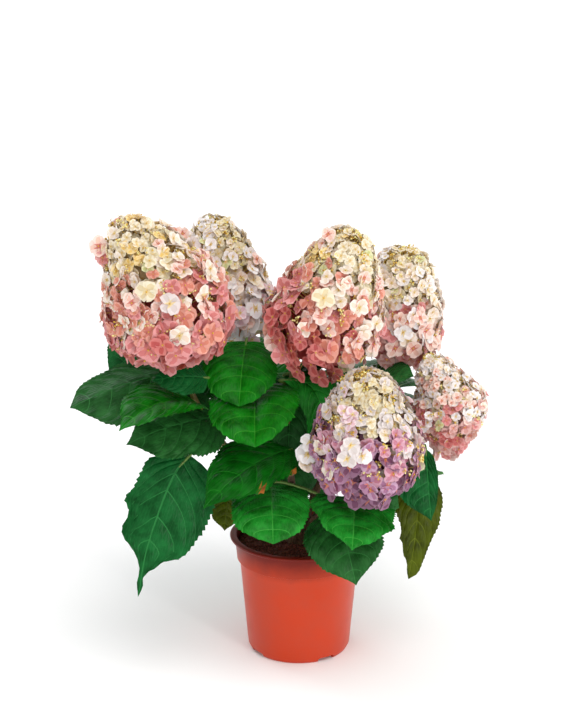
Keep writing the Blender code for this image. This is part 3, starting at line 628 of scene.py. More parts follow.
def blade_finish(name, dark, light, line, roughness):
    """Living leaf: waxy skin over soft green, puckered by a net of fine veins."""
    material, tree, spot = new_finish(name, {"IOR": 1.42, "Specular IOR Level": 0.11})
    # Lighter and darker patches about 16 mm across
    patches = add_node(tree, "TexNoise", {"Vector": spot, "Scale": 1 / 0.016, "Detail": 3.0})
    share = add_node(tree, "MapRange", {"Value": patches, "From Min": 0.35, "From Max": 0.68})
    green = add_node(tree, "Mix", {0: share, 6: opaque(dark), 7: opaque(light)}, 2, data_type="RGBA")
    gloss = add_node(tree, "MapRange", {
        "Value": patches, "From Min": 0.3, "From Max": 0.7, "To Min": roughness, "To Max": roughness + 0.10})
    # Cross veins: the map holds cells 3.2 mm long between two side veins
    mapped = add_node(tree, "TexCoord", {}, "UV")
    net = add_node(tree, "TexVoronoi", {"Vector": mapped, "Scale": 1.0, "Randomness": 0.75}, "Distance",
                   voronoi_dimensions="2D", feature="DISTANCE_TO_EDGE")
    lines = add_node(tree, "MapRange", {
        "Value": net, "From Min": 0.02, "From Max": 0.12, "To Min": 0.16, "To Max": 0.0})
    colour = add_node(tree, "Mix", {0: lines, 6: green, 7: opaque(line)}, 2, data_type="RGBA")
    puff = add_node(tree, "MapRange", {"Value": net, "From Max": 0.30})
    bump = add_node(tree, "Bump", {"Height": puff, "Distance": 0.0004, "Strength": 0.5})
    return link_shader(material, {"Base Color": colour, "Roughness": gloss, "Normal": bump})


def petal_finish(name, colour, roughness=0.55):
    """Thin papery sepal or soft bud: light sinks in and spreads, over a faint crumple."""
    material, tree, spot = new_finish(name, {
        "Base Color": opaque(colour), "Roughness": roughness, "IOR": 1.38, "Subsurface Weight": 0.25,
        "Subsurface Radius": (1.0, 0.6, 0.45), "Subsurface Scale": 0.004})
    # Veins 1.5 mm apart, drawn as a soft crumple
    crumple = add_node(tree, "TexNoise", {"Vector": spot, "Scale": 1 / 0.0015, "Detail": 3.0})
    bump = add_node(tree, "Bump", {"Height": crumple, "Distance": 0.0003, "Strength": 0.5})
    return link_shader(material, {"Normal": bump})


def select_only(*things):
    bpy.ops.object.select_all(action="DESELECT")
    for thing in things:
        thing.select_set(True)
    bpy.context.view_layer.objects.active = things[0]


def primitive(add, **settings):
    """Add a mesh primitive by its operator, with nothing else selected."""
    bpy.ops.object.select_all(action="DESELECT")
    add(**settings)
    return bpy.context.active_object


def apply_modifier(piece, kind, **settings):
    """Add a modifier with its settings and apply it at once."""
    modifier = piece.modifiers.new(kind.lower(), kind)
    for name, value in settings.items():
        setattr(modifier, name, value)
    select_only(piece)
    bpy.ops.object.modifier_apply(modifier=modifier.name)


def finish_piece(piece, crease, *nodes):
    """Shade smooth up to the crease angle; the piece rides on the root and replaces the nodes."""
    select_only(piece)
    bpy.ops.object.shade_smooth_by_angle(angle=math.radians(crease))
    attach(piece, "root")
    if nodes:
        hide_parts(*nodes)


def place_in_mesh(piece):
    """Put a piece's own place, turn and scale into its mesh."""
    select_only(piece)
    bpy.ops.object.transform_apply(location=True, rotation=True, scale=True)


class Gather:
    """Many small closed solids that become one mesh."""

    def __init__(self):
        self.points = []
        self.faces = []
        self.slots = []
        self.places = []
        self.count = 0

    def add(self, points, faces, slots, places=None):
        self.points.append(points)
        self.faces.append(faces + self.count)
        self.slots.append(np.broadcast_to(slots, len(faces)))
        self.places.append(np.zeros((len(points), 2)) if places is None else places)
        self.count += len(points)

    def piece(self, name, materials):
        faces = np.concatenate(self.faces)
        mesh = bpy.data.meshes.new(name)
        mesh.from_pydata(np.concatenate(self.points).tolist(), [], faces.tolist())
        for material in materials:
            mesh.materials.append(material)
        mesh.polygons.foreach_set("material_index", np.concatenate(self.slots).astype(np.int32))
        layer = mesh.uv_layers.new(name="Map")
        layer.data.foreach_set("uv", np.concatenate(self.places)[faces.ravel()].ravel())
        thing = bpy.data.objects.new(name, mesh)
        bpy.context.scene.collection.objects.link(thing)
        return thing


def smooth_table(table, shares):
    """Smooth curve through a table's points, read at many shares."""
    xs, ys = np.array(table).T
    slopes = np.gradient(ys, xs)
    k = np.clip(np.searchsorted(xs, shares, side="right") - 1, 0, len(xs) - 2)
    step = xs[k + 1] - xs[k]
    t = (shares - xs[k]) / step
    start = (2 * t ** 3 - 3 * t ** 2 + 1) * ys[k] + (t ** 3 - 2 * t ** 2 + t) * step * slopes[k]
    end = (3 * t ** 2 - 2 * t ** 3) * ys[k + 1] + (t ** 3 - t ** 2) * step * slopes[k + 1]
    return np.maximum(start + end, 0.0)


def turned(radius, degrees, height):
    """Point at a radius and a height, turned round the pot's axis."""
    angle = math.radians(degrees)
    return Vector((radius * math.cos(angle), radius * math.sin(angle), height))


def bezier(p0, p1, p2, p3, share):
    """Point on the curve from p0 to p3 that leaves towards p1 and arrives from p2."""
    rest = 1.0 - share
    return (p0 * rest ** 3 + p1 * 3 * rest * rest * share
            + p2 * 3 * rest * share * share + p3 * share ** 3)


def cross_frame(forward):
    """Two directions square to the given one and to each other."""
    helper = Vector((0.0, 1.0, 0.0)) if abs(forward.y) < 0.8 else Vector((1.0, 0.0, 0.0))
    side = forward.cross(helper).normalized()
    return side, side.cross(forward).normalized()


@cache
def tube_faces(rings, sides):
    """Triangles of a tube of rings with closed ends."""
    faces = [(0, k, k + 1) for k in range(1, sides - 1)]
    for k in range(rings - 1):
        for j in range(sides):
            a = k * sides + j
            b = k * sides + (j + 1) % sides
            faces += [(a, a + sides, b + sides), (a, b + sides, b)]
    last = (rings - 1) * sides
    faces += [(last, last + k + 1, last + k) for k in range(1, sides - 1)]
    return np.array(faces)


def closed_sheet(top, under, pinched, patches, below_patches, crossed):
    """Thin sheet closed along its margins, from grids of points above and below.

    Each pinched row is drawn together to its point in the given column. The
    patches' numbers go to their triangles, and the diagonals of the crossed
    columns run the other way. Returns points, triangles, their numbers and
    which of the grids' points are kept.
    """
    rows, count = top.shape[:2]
    above = np.arange(rows * count).reshape(rows, count)
    for row, column in pinched:
        above[row] = above[row, column]
    below = above + rows * count
    below[:, (0, -1)] = above[:, (0, -1)]
    below[(0, -1), :] = above[(0, -1), :]
    faces = []
    parts = []
    for grid, step, part in ((above, 1, patches), (below, -1, below_patches)):
        a, b = grid[:-1, :-1], grid[:-1, 1:]
        d, c = grid[1:, :-1], grid[1:, 1:]
        for corners in ((a, b, np.where(crossed, d, c)), (np.where(crossed, b, a), c, d)):
            faces.append(np.stack([corner.ravel() for corner in corners[::step]], axis=1))
            parts.append(part.ravel())
    faces = np.concatenate(faces)
    real = (faces[:, 0] != faces[:, 1]) & (faces[:, 1] != faces[:, 2]) & (faces[:, 0] != faces[:, 2])
    used, faces = np.unique(faces[real], return_inverse=True)
    points = np.concatenate([top.reshape(-1, 3), under.reshape(-1, 3)])[used]
    return points, faces.reshape(-1, 3), np.concatenate(parts)[real], used


def small_ball(subdivisions):
    """Points and triangles of a ball of radius 1."""
    ball = primitive(bpy.ops.mesh.primitive_ico_sphere_add, subdivisions=subdivisions, radius=1.0)
    points = np.array([vertex.co for vertex in ball.data.vertices])
    faces = np.array([face.vertices for face in ball.data.polygons])
    bpy.data.objects.remove(ball, do_unlink=True)
    return points, faces


def bar(centres, radii, sides):
    """Closed round bar through the centres, as points and triangles."""
    points = []
    side = None
    for k, centre in enumerate(centres):
        ahead = (centres[min(k + 1, len(centres) - 1)] - centres[max(k - 1, 0)]).normalized()
        side = (side - ahead * side.dot(ahead)).normalized() if side else cross_frame(ahead)[0]
        up = side.cross(ahead)
        for j in range(sides):
            angle = 2 * math.pi * j / sides
            points.append(centre + (side * math.cos(angle) + up * math.sin(angle)) * radii[k])
    return np.array(points), tube_faces(len(centres), sides)


def stub_end(shoot):
    """Middle of the end of a shoot's stub on the woody base."""
    return turned(STUB_RING, shoot.turn, SOIL_LEVEL + STUB_LIFT)


def stub_aim(shoot):
    return turned(STUB_OUT, shoot.turn, STUB_UP).normalized()


def shoot_point(shoot, share):
    """Middle of a shoot, from its stub (0) to the neck of its head (1)."""
    start = stub_end(shoot) + stub_aim(shoot) * CLEARANCE * 0.5
    neck = Vector(shoot.neck) / 1000
    reach = (neck - start).length
    second = start + stub_aim(shoot) * reach * 0.35
    third = neck - Vector(shoot.aim).normalized() * reach * 0.30
    return bezier(start, second, third, neck, share)


def shoot_aim(shoot, share):
    """Direction of a shoot at a share of its length."""
    return (shoot_point(shoot, share + 0.002) - shoot_point(shoot, share - 0.002)).normalized()


def shoot_radius(name, share):
    """Taper of a shoot, swollen where a pair of leaves sits."""
    radius = CANE_RADIUS + (NECK_RADIUS - CANE_RADIUS) * share
    joints = (*(row[0] for row in SEEN_LEAVES[name]), *PAIRS[name][0], *BARE_JOINTS)
    swell = max(math.exp(-((share - joint) / JOINT_SPREAD) ** 2) for joint in joints)
    return radius * (1.0 + JOINT_SWELL * swell)


def head_centre(shoot, share):
    """Point on the bowed line from the seat to the tip of a head."""
    seat = Vector(shoot.seat) / 1000
    tip = Vector(shoot.tip) / 1000
    return seat + (tip - seat) * share + Vector(shoot.bow) / 1000 * 4 * share * (1 - share)


def head_radius(shoot, share):
    outline = float(smooth_table(HEAD_OUTLINES[shoot.outline], share))
    return shoot.radius / 1000 * outline * (1.0 - shoot.taper * (share - 0.35))


def head_surface(shoot, share, turn):
    """Point on a flower head's outside and the way it faces."""
    step = 0.02
    here = head_centre(shoot, share)
    along = head_centre(shoot, share + step) - head_centre(shoot, share - step)
    length = along.length
    along.normalize()
    side, up = cross_frame(along)
    radial = side * math.cos(turn) + up * math.sin(turn)
    higher = head_radius(shoot, min(share + step, 1.0))
    slope = (higher - head_radius(shoot, max(share - step, 0.0))) / length
    facing = (radial - along * slope).normalized()
    return here + radial * head_radius(shoot, share), facing


def floret_share(share):
    """Size of a floret by its height on the head, as a share of the largest."""
    return np.interp(share, (0.30, 0.92), (0.96, 0.50))


def head_shares(count, outline):
    """Shares of a head's height that cover its skin evenly, with more of the small florets."""
    steps = 200
    middles = (np.arange(steps) + 0.5) / steps
    skin = smooth_table(HEAD_OUTLINES[outline], middles) + 0.16 + 0.10 * middles ** 6
    areas = skin / floret_share(middles) ** 2
    run = np.concatenate([[0.0], np.cumsum(areas)]) / areas.sum()
    return np.interp((np.arange(count) + 0.5) / count, run, np.arange(steps + 1) / steps)


def turned_solid(name, profile, sides):
    """Solid turned round Z: a disc drawn out along the profile, then closed at its start."""
    piece = primitive(
        bpy.ops.mesh.primitive_circle_add, vertices=sides, radius=profile[0][0], fill_type="NGON")
    piece.name = name
    bpy.ops.object.mode_set(mode="EDIT")
    bpy.ops.mesh.select_all(action="SELECT")
    bpy.ops.transform.translate(value=(0, 0, profile[0][1]))
    for (r0, z0), (r1, z1) in zip(profile, profile[1:]):
        bpy.ops.mesh.extrude_region_move(TRANSFORM_OT_translate={"value": (0, 0, z1 - z0)})
        bpy.ops.transform.resize(value=(r1 / r0, r1 / r0, 1.0), center_override=(0, 0, 0))
    bpy.ops.mesh.select_all(action="DESELECT")
    bpy.ops.mesh.select_mode(type="EDGE")
    bpy.ops.mesh.select_non_manifold()
    bpy.ops.mesh.edge_face_add()
    bpy.ops.mesh.select_all(action="SELECT")
    bpy.ops.mesh.normals_make_consistent(inside=False)
    bpy.ops.object.mode_set(mode="OBJECT")
    return piece


def cut_away(piece, cutters):
    """Take each cutter's shape out of a piece."""
    for cutter in cutters:
        apply_modifier(piece, "BOOLEAN", operation="DIFFERENCE", solver="EXACT", object=cutter)
        bpy.data.objects.remove(cutter, do_unlink=True)


def curved_limb(name, centres, radii, sides):
    """Round limb drawn as a curve with a bevel and turned into a mesh."""
    curve = bpy.data.curves.new(name, "CURVE")
    curve.dimensions = "3D"
    curve.bevel_depth = 1.0
    curve.bevel_resolution = sides // 2 - 2
    curve.use_fill_caps = True
    spline = curve.splines.new("POLY")
    spline.points.add(len(centres) - 1)
    for point, centre, radius in zip(spline.points, centres, radii):
        point.co = (*centre, 1.0)
        point.radius = radius
    limb = bpy.data.objects.new(name, curve)
    bpy.context.scene.collection.objects.link(limb)
    select_only(limb)
    bpy.ops.object.convert(target="MESH")
    # The caps come as loose discs: join them to the limb
    bpy.ops.object.mode_set(mode="EDIT")
    bpy.ops.mesh.select_all(action="SELECT")
    bpy.ops.mesh.remove_doubles(threshold=0.00001)
    bpy.ops.mesh.normals_make_consistent(inside=False)
    bpy.ops.object.mode_set(mode="OBJECT")
    return bpy.context.active_object


def roughen(piece, depth, spread, along):
    """Furrow a surface; the furrows are longer up and down than across by the last value."""
    mesh = piece.data
    normals = [vertex.normal.copy() for vertex in mesh.vertices]
    for vertex, normal in zip(mesh.vertices, normals):
        spot = Vector((vertex.co.x, vertex.co.y, vertex.co.z / along)) / spread
        vertex.co += normal * depth * noise.fractal(spot, 0.8, 2.0, 3)
    mesh.update()


def tree_of_node(name):
    """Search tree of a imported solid's surface."""
    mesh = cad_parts[name].data
    return BVHTree.FromPolygons([vertex.co for vertex in mesh.vertices],
                                [face.vertices for face in mesh.polygons])


class Leaf(NamedTuple):
    """A blade, in metres; its arch, fold and skew are shares."""
    foot: Vector
    tip: Vector
    width: float
    face: Vector
    arch: float
    fold: float
    shape: str = "plain"
    skew: float = 0.0


def blade_rows():
    """Rows of a blade: share on the midrib, share on the margin, tooth, vein and place among the veins."""
    places = np.interp(np.arange(LEAF_ROWS + 1), (0, *VEIN_ROWS, LEAF_ROWS), range(len(VEIN_ROWS) + 2))
    rows = []
    for number in range(LEAF_ROWS + 1):
        end = number / LEAF_ROWS
        start = end ** VEIN_SWEEP
        if number in VEIN_ROWS:
            step = ((number + 1) / LEAF_ROWS) ** VEIN_SWEEP - start
            half = min(VEIN_FOOT, 0.42 * step)
            rows.append((start - half, end - VEIN_TIP, 1.0, 1.0, places[number]))
            rows.append((start + half, end + VEIN_TIP, 1.0, 0.0, places[number]))
        else:
            rows.append((start, end, float(number % 2), 0.0, places[number]))
    return np.array(rows)


BLADE_ROWS = blade_rows()


def blade(leaf, settings, chance):
    """Fine blade: points, triangles, which part each triangle is and its map.

    The parts are 0 skin, 1 vein, 2 underside and 3 vein below.
    """
    foot, tip, width, face, arch, fold, shape, skew = leaf
    axis = tip - foot
    length = axis.length
    forward = axis / length
    up = (face - forward * face.dot(forward)).normalized()
    side = forward.cross(up)
    start, end, tooth, vein, place = BLADE_ROWS.T[:, :, None]
    # Where each point lies: column 0 is the midrib, and share 1 is the tip
    column = np.arange(2 * LEAF_COLUMNS + 1) - LEAF_COLUMNS
    out = np.abs(column) / LEAF_COLUMNS
    share = start + (end - start) * (0.5 * out + 0.5 * out ** 3)
    rim = (out == 1.0) * tooth
    share = np.clip(share + rim * 0.010, 0.0, 1.0)
    near, far = (smooth_table(table, share) for table in LEAF_SHAPES[shape])
    bay = np.interp(share, np.linspace(0, 1, 9), [0, *(chance.uniform(-1, 1) for k in range(7)), 0])
    half = width / 2 * np.where(column < 0, near, far) * (1.0 + settings.bay * bay * np.sign(column))
    rib = np.minimum(RIB_HALF * (1.0 - 0.7 * share) * width / 0.08, half * 0.4)
    reach = np.where(column == 0, 0.0, rib + (half - rib) * (np.abs(column) - 1) / (LEAF_COLUMNS - 1))
    nibble = np.array([chance.uniform(0.5, 1.3) for row in BLADE_ROWS])[:, None]
    reach = reach * (1.0 + rim * settings.tooth * nibble)
    across = np.sign(column) * np.divide(reach, half, out=np.zeros_like(half), where=half > 1e-9)
    # Fold, puffs between the side veins, a wavy margin and sunk veins
    rise = fold * half * (np.abs(across) - 0.6 * across ** 2) * 1.6
    fraction = place - np.floor(place)
    puff = np.sin(np.pi * fraction) * np.sin(np.pi * np.clip(out * 1.02 - 0.06, 0.0, 1.0)) ** 0.6
    phase = np.where(column < 0, chance.uniform(0, 6), chance.uniform(0, 6))
    wave = np.sin(2 * np.pi * 2.6 * share + phase) + 0.5 * np.sin(2 * np.pi * 5.7 * share + 2 * phase)
    near_vein = (fraction == 0.0) * (1.0 - 0.6 * out)
    relief = (puff * settings.quilt * width + wave * settings.ripple * width * 0.5 * out ** 2.5
              - VEIN_SINK * near_vein - RIB_SINK * (column == 0) * (1 - share)
              - RIB_EDGE_SINK * (np.abs(column) == 1))
    relief = relief * np.clip(half / (width * 0.2), 0.0, 1.0)
    lift = arch * length * 4 * share * (1 - share) + rise + relief
    offset = half * across + skew * width / 2 * smooth_table(LEAF_OUTLINE, share)
    top = (np.array(foot) + share[..., None] * np.array(axis) + lift[..., None] * np.array(up)
           + offset[..., None] * np.array(side))
    thick = settings.thickness + VEIN_KEEL * near_vein + RIB_KEEL * (column == 0) * (1 - share)
    under = top - thick[..., None] * np.array(up)
    # Skin or vein, above and below, and the map of the vein net
    is_rib = (column[:-1] == -1) | (column[:-1] == 0)
    veins = ((vein[:-1] > 0) | is_rib).astype(int)
    ends = ((0, LEAF_COLUMNS), (-1, LEAF_COLUMNS))
    points, faces, parts, used = closed_sheet(top, under, ends, veins, veins + 2, False)
    mapped = np.stack([np.sign(column) * reach / VEIN_CELL + 40.0, place * 2.0 + 0.0 * reach], axis=-1)
    return points, faces, parts, np.concatenate([mapped.reshape(-1, 2)] * 2)[used]


def petiole(shoot, share, leaf):
    """Middle of a leaf's stalk from the stem to inside the blade."""
    foot, tip = leaf[:2]
    forward = (tip - foot).normalized()
    start = shoot_point(shoot, share)
    up = (leaf.face - forward * leaf.face.dot(forward)).normalized()
    half = leaf.width * 0.5 * float(smooth_table(LEAF_OUTLINE, 0.10))
    inside = foot + (tip - foot) * 0.10 + up * (leaf.arch * (tip - foot).length * 0.36 - 0.0006)
    inside = inside + forward.cross(up) * (leaf.skew * half)
    reach = (foot - start).length
    second = start + (foot - start).normalized() * reach * 0.4 + Vector((0, 0, reach * 0.12))
    third = foot - (inside - foot).normalized() * reach * 0.3
    return [bezier(start, second, third, foot, k / 8) for k in range(9)] + [inside]


def seen_leaf(share, foot, tip, width, face, arch, fold, tone, *rest):
    """Share of the shoot, leaf and tone from one row of the table of seen leaves."""
    leaf = Leaf(Vector(foot) / 1000, Vector(tip) / 1000, width / 1000, Vector(face), arch, fold, *rest)
    return share, leaf, tone


def paired_leaf(name, number, half, twist):
    """One leaf of an opposite pair, each pair a quarter turn on from the last."""
    shoot = SHOOTS[name]
    shares, first, least = PAIRS[name]
    here = shoot_point(shoot, shares[number])
    along = shoot_aim(shoot, shares[number])
    chance = random.Random("%s %d %d" % (name, number, half))
    level = turned(1.0, first + 90 * number + 180 * half + twist + chance.uniform(-14, 14), 0.0)
    out = (level - along * level.dot(along)).normalized()
    size = chance.uniform(0.85, 1.12) * (1.08 - 0.25 * shares[number])
    drop = PAIR_DROOP * chance.uniform(0.6, 1.3)
    foot = here + out * PAIR_STALK + along * 0.004
    tip = foot + (level - Vector((0, 0, drop))).normalized() * PAIR_LENGTH * size
    inside = all(low <= value <= high for value, (low, high) in zip(tip, SPACE))
    if level.y < least or not inside:
        return None
    face = Vector((level.x * 0.3, level.y * 0.3, 1.0))
    arch = 0.10 + 0.05 * chance.random()
    return Leaf(foot, tip, PAIR_WIDTH * size, face, arch, PAIR_FOLD)


def leaves_of(name):
    """Every leaf of a shoot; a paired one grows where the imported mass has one."""
    rows = [seen_leaf(*row) for row in SEEN_LEAVES[name]]
    mass = tree_of_node("leaves_" + name)
    for number, share in enumerate(PAIRS[name][0]):
        for half in (0, 1):
            for twist in PAIR_TWISTS:
                leaf = paired_leaf(name, number, half, twist)
                if leaf and all(mass.find_nearest(spot)[3] < LEAF_REST for spot in leaf[:2]):
                    tone = PAIR_TONES[(number * 3 + half * 2 + len(name)) % len(PAIR_TONES)]
                    rows.append((share, leaf, tone))
                    break
    return rows


class HYDRANGEA_OT_stage(bpy.types.Operator):
    """Make the camera, the pale floor and the soft studio lights"""
    bl_idname = "hydrangea.stage"
    bl_label = "Stage"

    def execute(self, context):
        settings = context.scene.hydrangea_stage
        view = context.scene.view_settings
        view.view_transform = "Standard"
        view.look = "None"
        data = bpy.data.cameras.new("camera")
        data.sensor_fit = "VERTICAL"
        data.sensor_height = SENSOR
        data.sensor_width = SENSOR
        data.lens = FOCAL_PIXELS / PHOTO_HEIGHT * SENSOR
        data.clip_start = 0.05
        data.clip_end = 60.0
        camera = bpy.data.objects.new("camera", data)
        back = Vector((0.0, -math.cos(CAMERA_RISE), math.sin(CAMERA_RISE)))
        camera.location = CAMERA_AIM + back * CAMERA_REACH
        camera.rotation_euler = (math.pi / 2 - CAMERA_RISE, 0.0, 0.0)
        context.scene.collection.objects.link(camera)
        context.scene.camera = camera
        floor = primitive(
            bpy.ops.mesh.primitive_plane_add, size=FLOOR_SIDE, location=(0.0, 0.0, -FLOOR_DROP))
        floor.name = "floor"
        floor.data.materials.append(self.floor_finish(settings))
        for name, (place, spread, colour) in SUNS.items():
            lamp = bpy.data.lights.new(name, "SUN")
            lamp.angle = math.radians(spread)
            lamp.energy = getattr(settings, name)
            lamp.color = colour
            self.hang(lamp, Vector(place), Vector(place))
        lamp = bpy.data.lights.new("strip", "AREA")
        lamp.shape = "RECTANGLE"
        lamp.size, lamp.size_y = STRIP_SIDES
        lamp.energy = settings.strip
        self.hang(lamp, STRIP_PLACE, STRIP_PLACE - STRIP_AIM)
        world = bpy.data.worlds.new("pale_room")
        world.use_nodes = True
        background = world.node_tree.nodes["Background"]
        background.inputs["Strength"].default_value = settings.room
        background.inputs["Color"].default_value = (1.0, 1.0, 1.0, 1.0)
        context.scene.world = world
        return {"FINISHED"}

    def hang(self, lamp, place, away):
        """Put a lamp at a place, with its back turned the given way."""
        light = bpy.data.objects.new(lamp.name, lamp)
        light.location = place
        light.rotation_euler = away.to_track_quat("Z", "Y").to_euler()
        bpy.context.scene.collection.objects.link(light)

    def floor_finish(self, settings):
        """Painted board: matt and even, with a very faint mottle."""
        material, tree, spot = new_finish("painted_board", {"Roughness": 0.9})
        mottle = add_node(tree, "TexNoise", {"Vector": spot, "Scale": 8.0, "Detail": 2.0})
        colour = add_node(tree, "Mix", {
            0: mottle, 6: opaque(settings.floor), 7: opaque(linear("#FEFEFE"))}, 2, data_type="RGBA")
        return link_shader(material, {"Base Color": colour})


class HYDRANGEA_OT_pot(bpy.types.Operator):
    """Turn the pot's wall, cut its foot notches and drain holes"""
    bl_idname = "hydrangea.pot"
    bl_label = "Pot"

    def execute(self, context):
        settings = context.scene.hydrangea_pot
        step = POT_HEIGHT - COLLAR_HEIGHT
        lip = POT_HEIGHT - LIP_HEIGHT
        floor = CHANNEL_LIFT + FLOOR
        # Radius and height of each corner, up the outside and down the inside; the
        # small steps are the roundings of collar and lip
        profile = (
            (FOOT_PAD_RADIUS, 0.0), (FOOT_PAD_RADIUS + 0.0005, CHANNEL_LIFT),
            (FOOT_RADIUS - 0.0045, CHANNEL_LIFT), (FOOT_RADIUS - 0.004, 0.0), (FOOT_RADIUS, 0.0),
            (BODY_FOOT_RADIUS, 0.0050), (BODY_TOP_RADIUS, step), (COLLAR_FOOT_RADIUS, step + 0.0006),
            (COLLAR_FOOT_RADIUS + 0.0001, step + 0.0022), (COLLAR_RADIUS, lip - 0.0012),
            (LIP_RADIUS - 0.0010, lip - 0.0004), (LIP_RADIUS, lip + 0.0006),
            (LIP_RADIUS, POT_HEIGHT - 0.0006), (LIP_RADIUS - 0.0010, POT_HEIGHT),
            (COLLAR_RADIUS - WALL + 0.0008, POT_HEIGHT),
            (COLLAR_RADIUS - WALL, POT_HEIGHT - 0.0008), (COLLAR_FOOT_RADIUS - WALL, step + 0.0014),
            (BODY_TOP_RADIUS - WALL, step - 0.0014), (BODY_FOOT_RADIUS - WALL, floor),
            (FOOT_PAD_RADIUS + 0.0014, floor), (FOOT_PAD_RADIUS + 0.0004, FLOOR),
        )
        pot = turned_solid("pot_shell", profile, settings.sides)
        apply_modifier(pot, "BEVEL", width=settings.edge, segments=2, limit_method="ANGLE",
                       angle_limit=math.radians(24))
        cut_away(pot, self.cutters())
        pot.data.materials.clear()
        pot.data.materials.append(pot_finish(settings))
        finish_piece(pot, 26, "pot")
        return {"FINISHED"}

    def cutters(self):
        """Boxes for the notches in the foot ring, then drills for the drain holes."""
        for degrees in NOTCH_TURNS:
            box = primitive(
                bpy.ops.mesh.primitive_cube_add, size=1.0,
                location=turned(NOTCH_RING, degrees, NOTCH_LIFT), rotation=(0, 0, math.radians(degrees)))
            box.scale = NOTCH_SIZE
            place_in_mesh(box)
            apply_modifier(box, "BEVEL", width=NOTCH_ROUND, segments=4)
            yield box
        for number in range(HOLES):
            drill = primitive(
                bpy.ops.mesh.primitive_cylinder_add, vertices=32, radius=HOLE_RADIUS, depth=HOLE_DEPTH,
                location=turned(HOLE_RING, 360.0 * (number + 0.4) / HOLES, HOLE_LIFT))
            place_in_mesh(drill)
            yield drill


class HYDRANGEA_OT_compost(bpy.types.Operator):
    """Fill the pot with compost and strew crumbs and chips over it"""
    bl_idname = "hydrangea.compost"
    bl_label = "Compost"

    def execute(self, context):
        settings = context.scene.hydrangea_pot
        step = POT_HEIGHT - COLLAR_HEIGHT
        floor = CHANNEL_LIFT + FLOOR
        edge = COLLAR_RADIUS - WALL - TUCK - 0.0008
        profile = [
            (FOOT_PAD_RADIUS - TUCK, FLOOR + CLEARANCE), (FOOT_PAD_RADIUS, floor + CLEARANCE),
            (BODY_FOOT_RADIUS - WALL - TUCK, floor + CLEARANCE),
            (BODY_TOP_RADIUS - WALL - TUCK, step - 0.0014), (COLLAR_FOOT_RADIUS - WALL - TUCK, step + 0.0020),
            (edge, SOIL_LEVEL - 0.0020),
        ]
        # Rings across the top carry its lumps
        rings = 34
        profile += [(edge * (1.0 - k / rings), SOIL_LEVEL) for k in range(1, rings)]
        fill = turned_solid("compost_fill", profile, 96)
        for vertex in fill.data.vertices:
            if vertex.co.z > SOIL_LEVEL - 0.0005:
                vertex.co.z += self.lump(vertex.co)
        fill.data.update()
        peat = earth_finish("wet_peat", settings.peat, settings.chip, PEAT_GRIT)
        fill.data.materials.append(peat)
        finish_piece(fill, 60, "compost")
        chips = earth_finish("bark_chip", linear("#33231A"), settings.chip, CHIP_GRIT)
        crumbs = self.crumbs(settings).piece("compost_crumbs", (peat, chips))
        finish_piece(crumbs, 50)
        return {"FINISHED"}

    def lump(self, spot):
        """Rise or dip of the compost's top at a place."""
        return LUMP_HEIGHT * noise.fractal(Vector((spot.x, spot.y, 0.3)) / LUMP_SPREAD, 0.7, 2.0, 4)

    def crumbs(self, settings):
        """Crumbs of peat and chips of bark, each a dented small ball half sunk in the fill."""
        shape, faces = small_ball(2)
        chance = random.Random("crumbs")
        gather = Gather()
        for number in range(settings.crumbs):
            far = (COLLAR_RADIUS - WALL - 0.0050) * math.sqrt(chance.uniform(0.0, 1.0))
            spot = turned(far, chance.uniform(0, 360), SOIL_LEVEL)
            spot.z += self.lump(spot) + 0.0002
            chip = chance.random() < CHIP_SHARE
            size = chance.uniform(*CRUMB_SIZES)
            sizes = (size, size * 0.45, size * 0.30) if chip else (size, size * 0.8, size * 0.7)
            dents = 1.0 + 0.22 * np.array([chance.uniform(-1, 1) for point in shape])[:, None]
            spin = Matrix.Rotation(chance.uniform(0, 6.3), 3, "Z")
            tilt = Matrix.Rotation(chance.uniform(-0.6, 0.6), 3, "X")
            points = (shape * dents * np.array(sizes)) @ np.array(spin @ tilt).T + np.array(spot)
            gather.add(points, faces, 1 if chip else 0)
        return gather


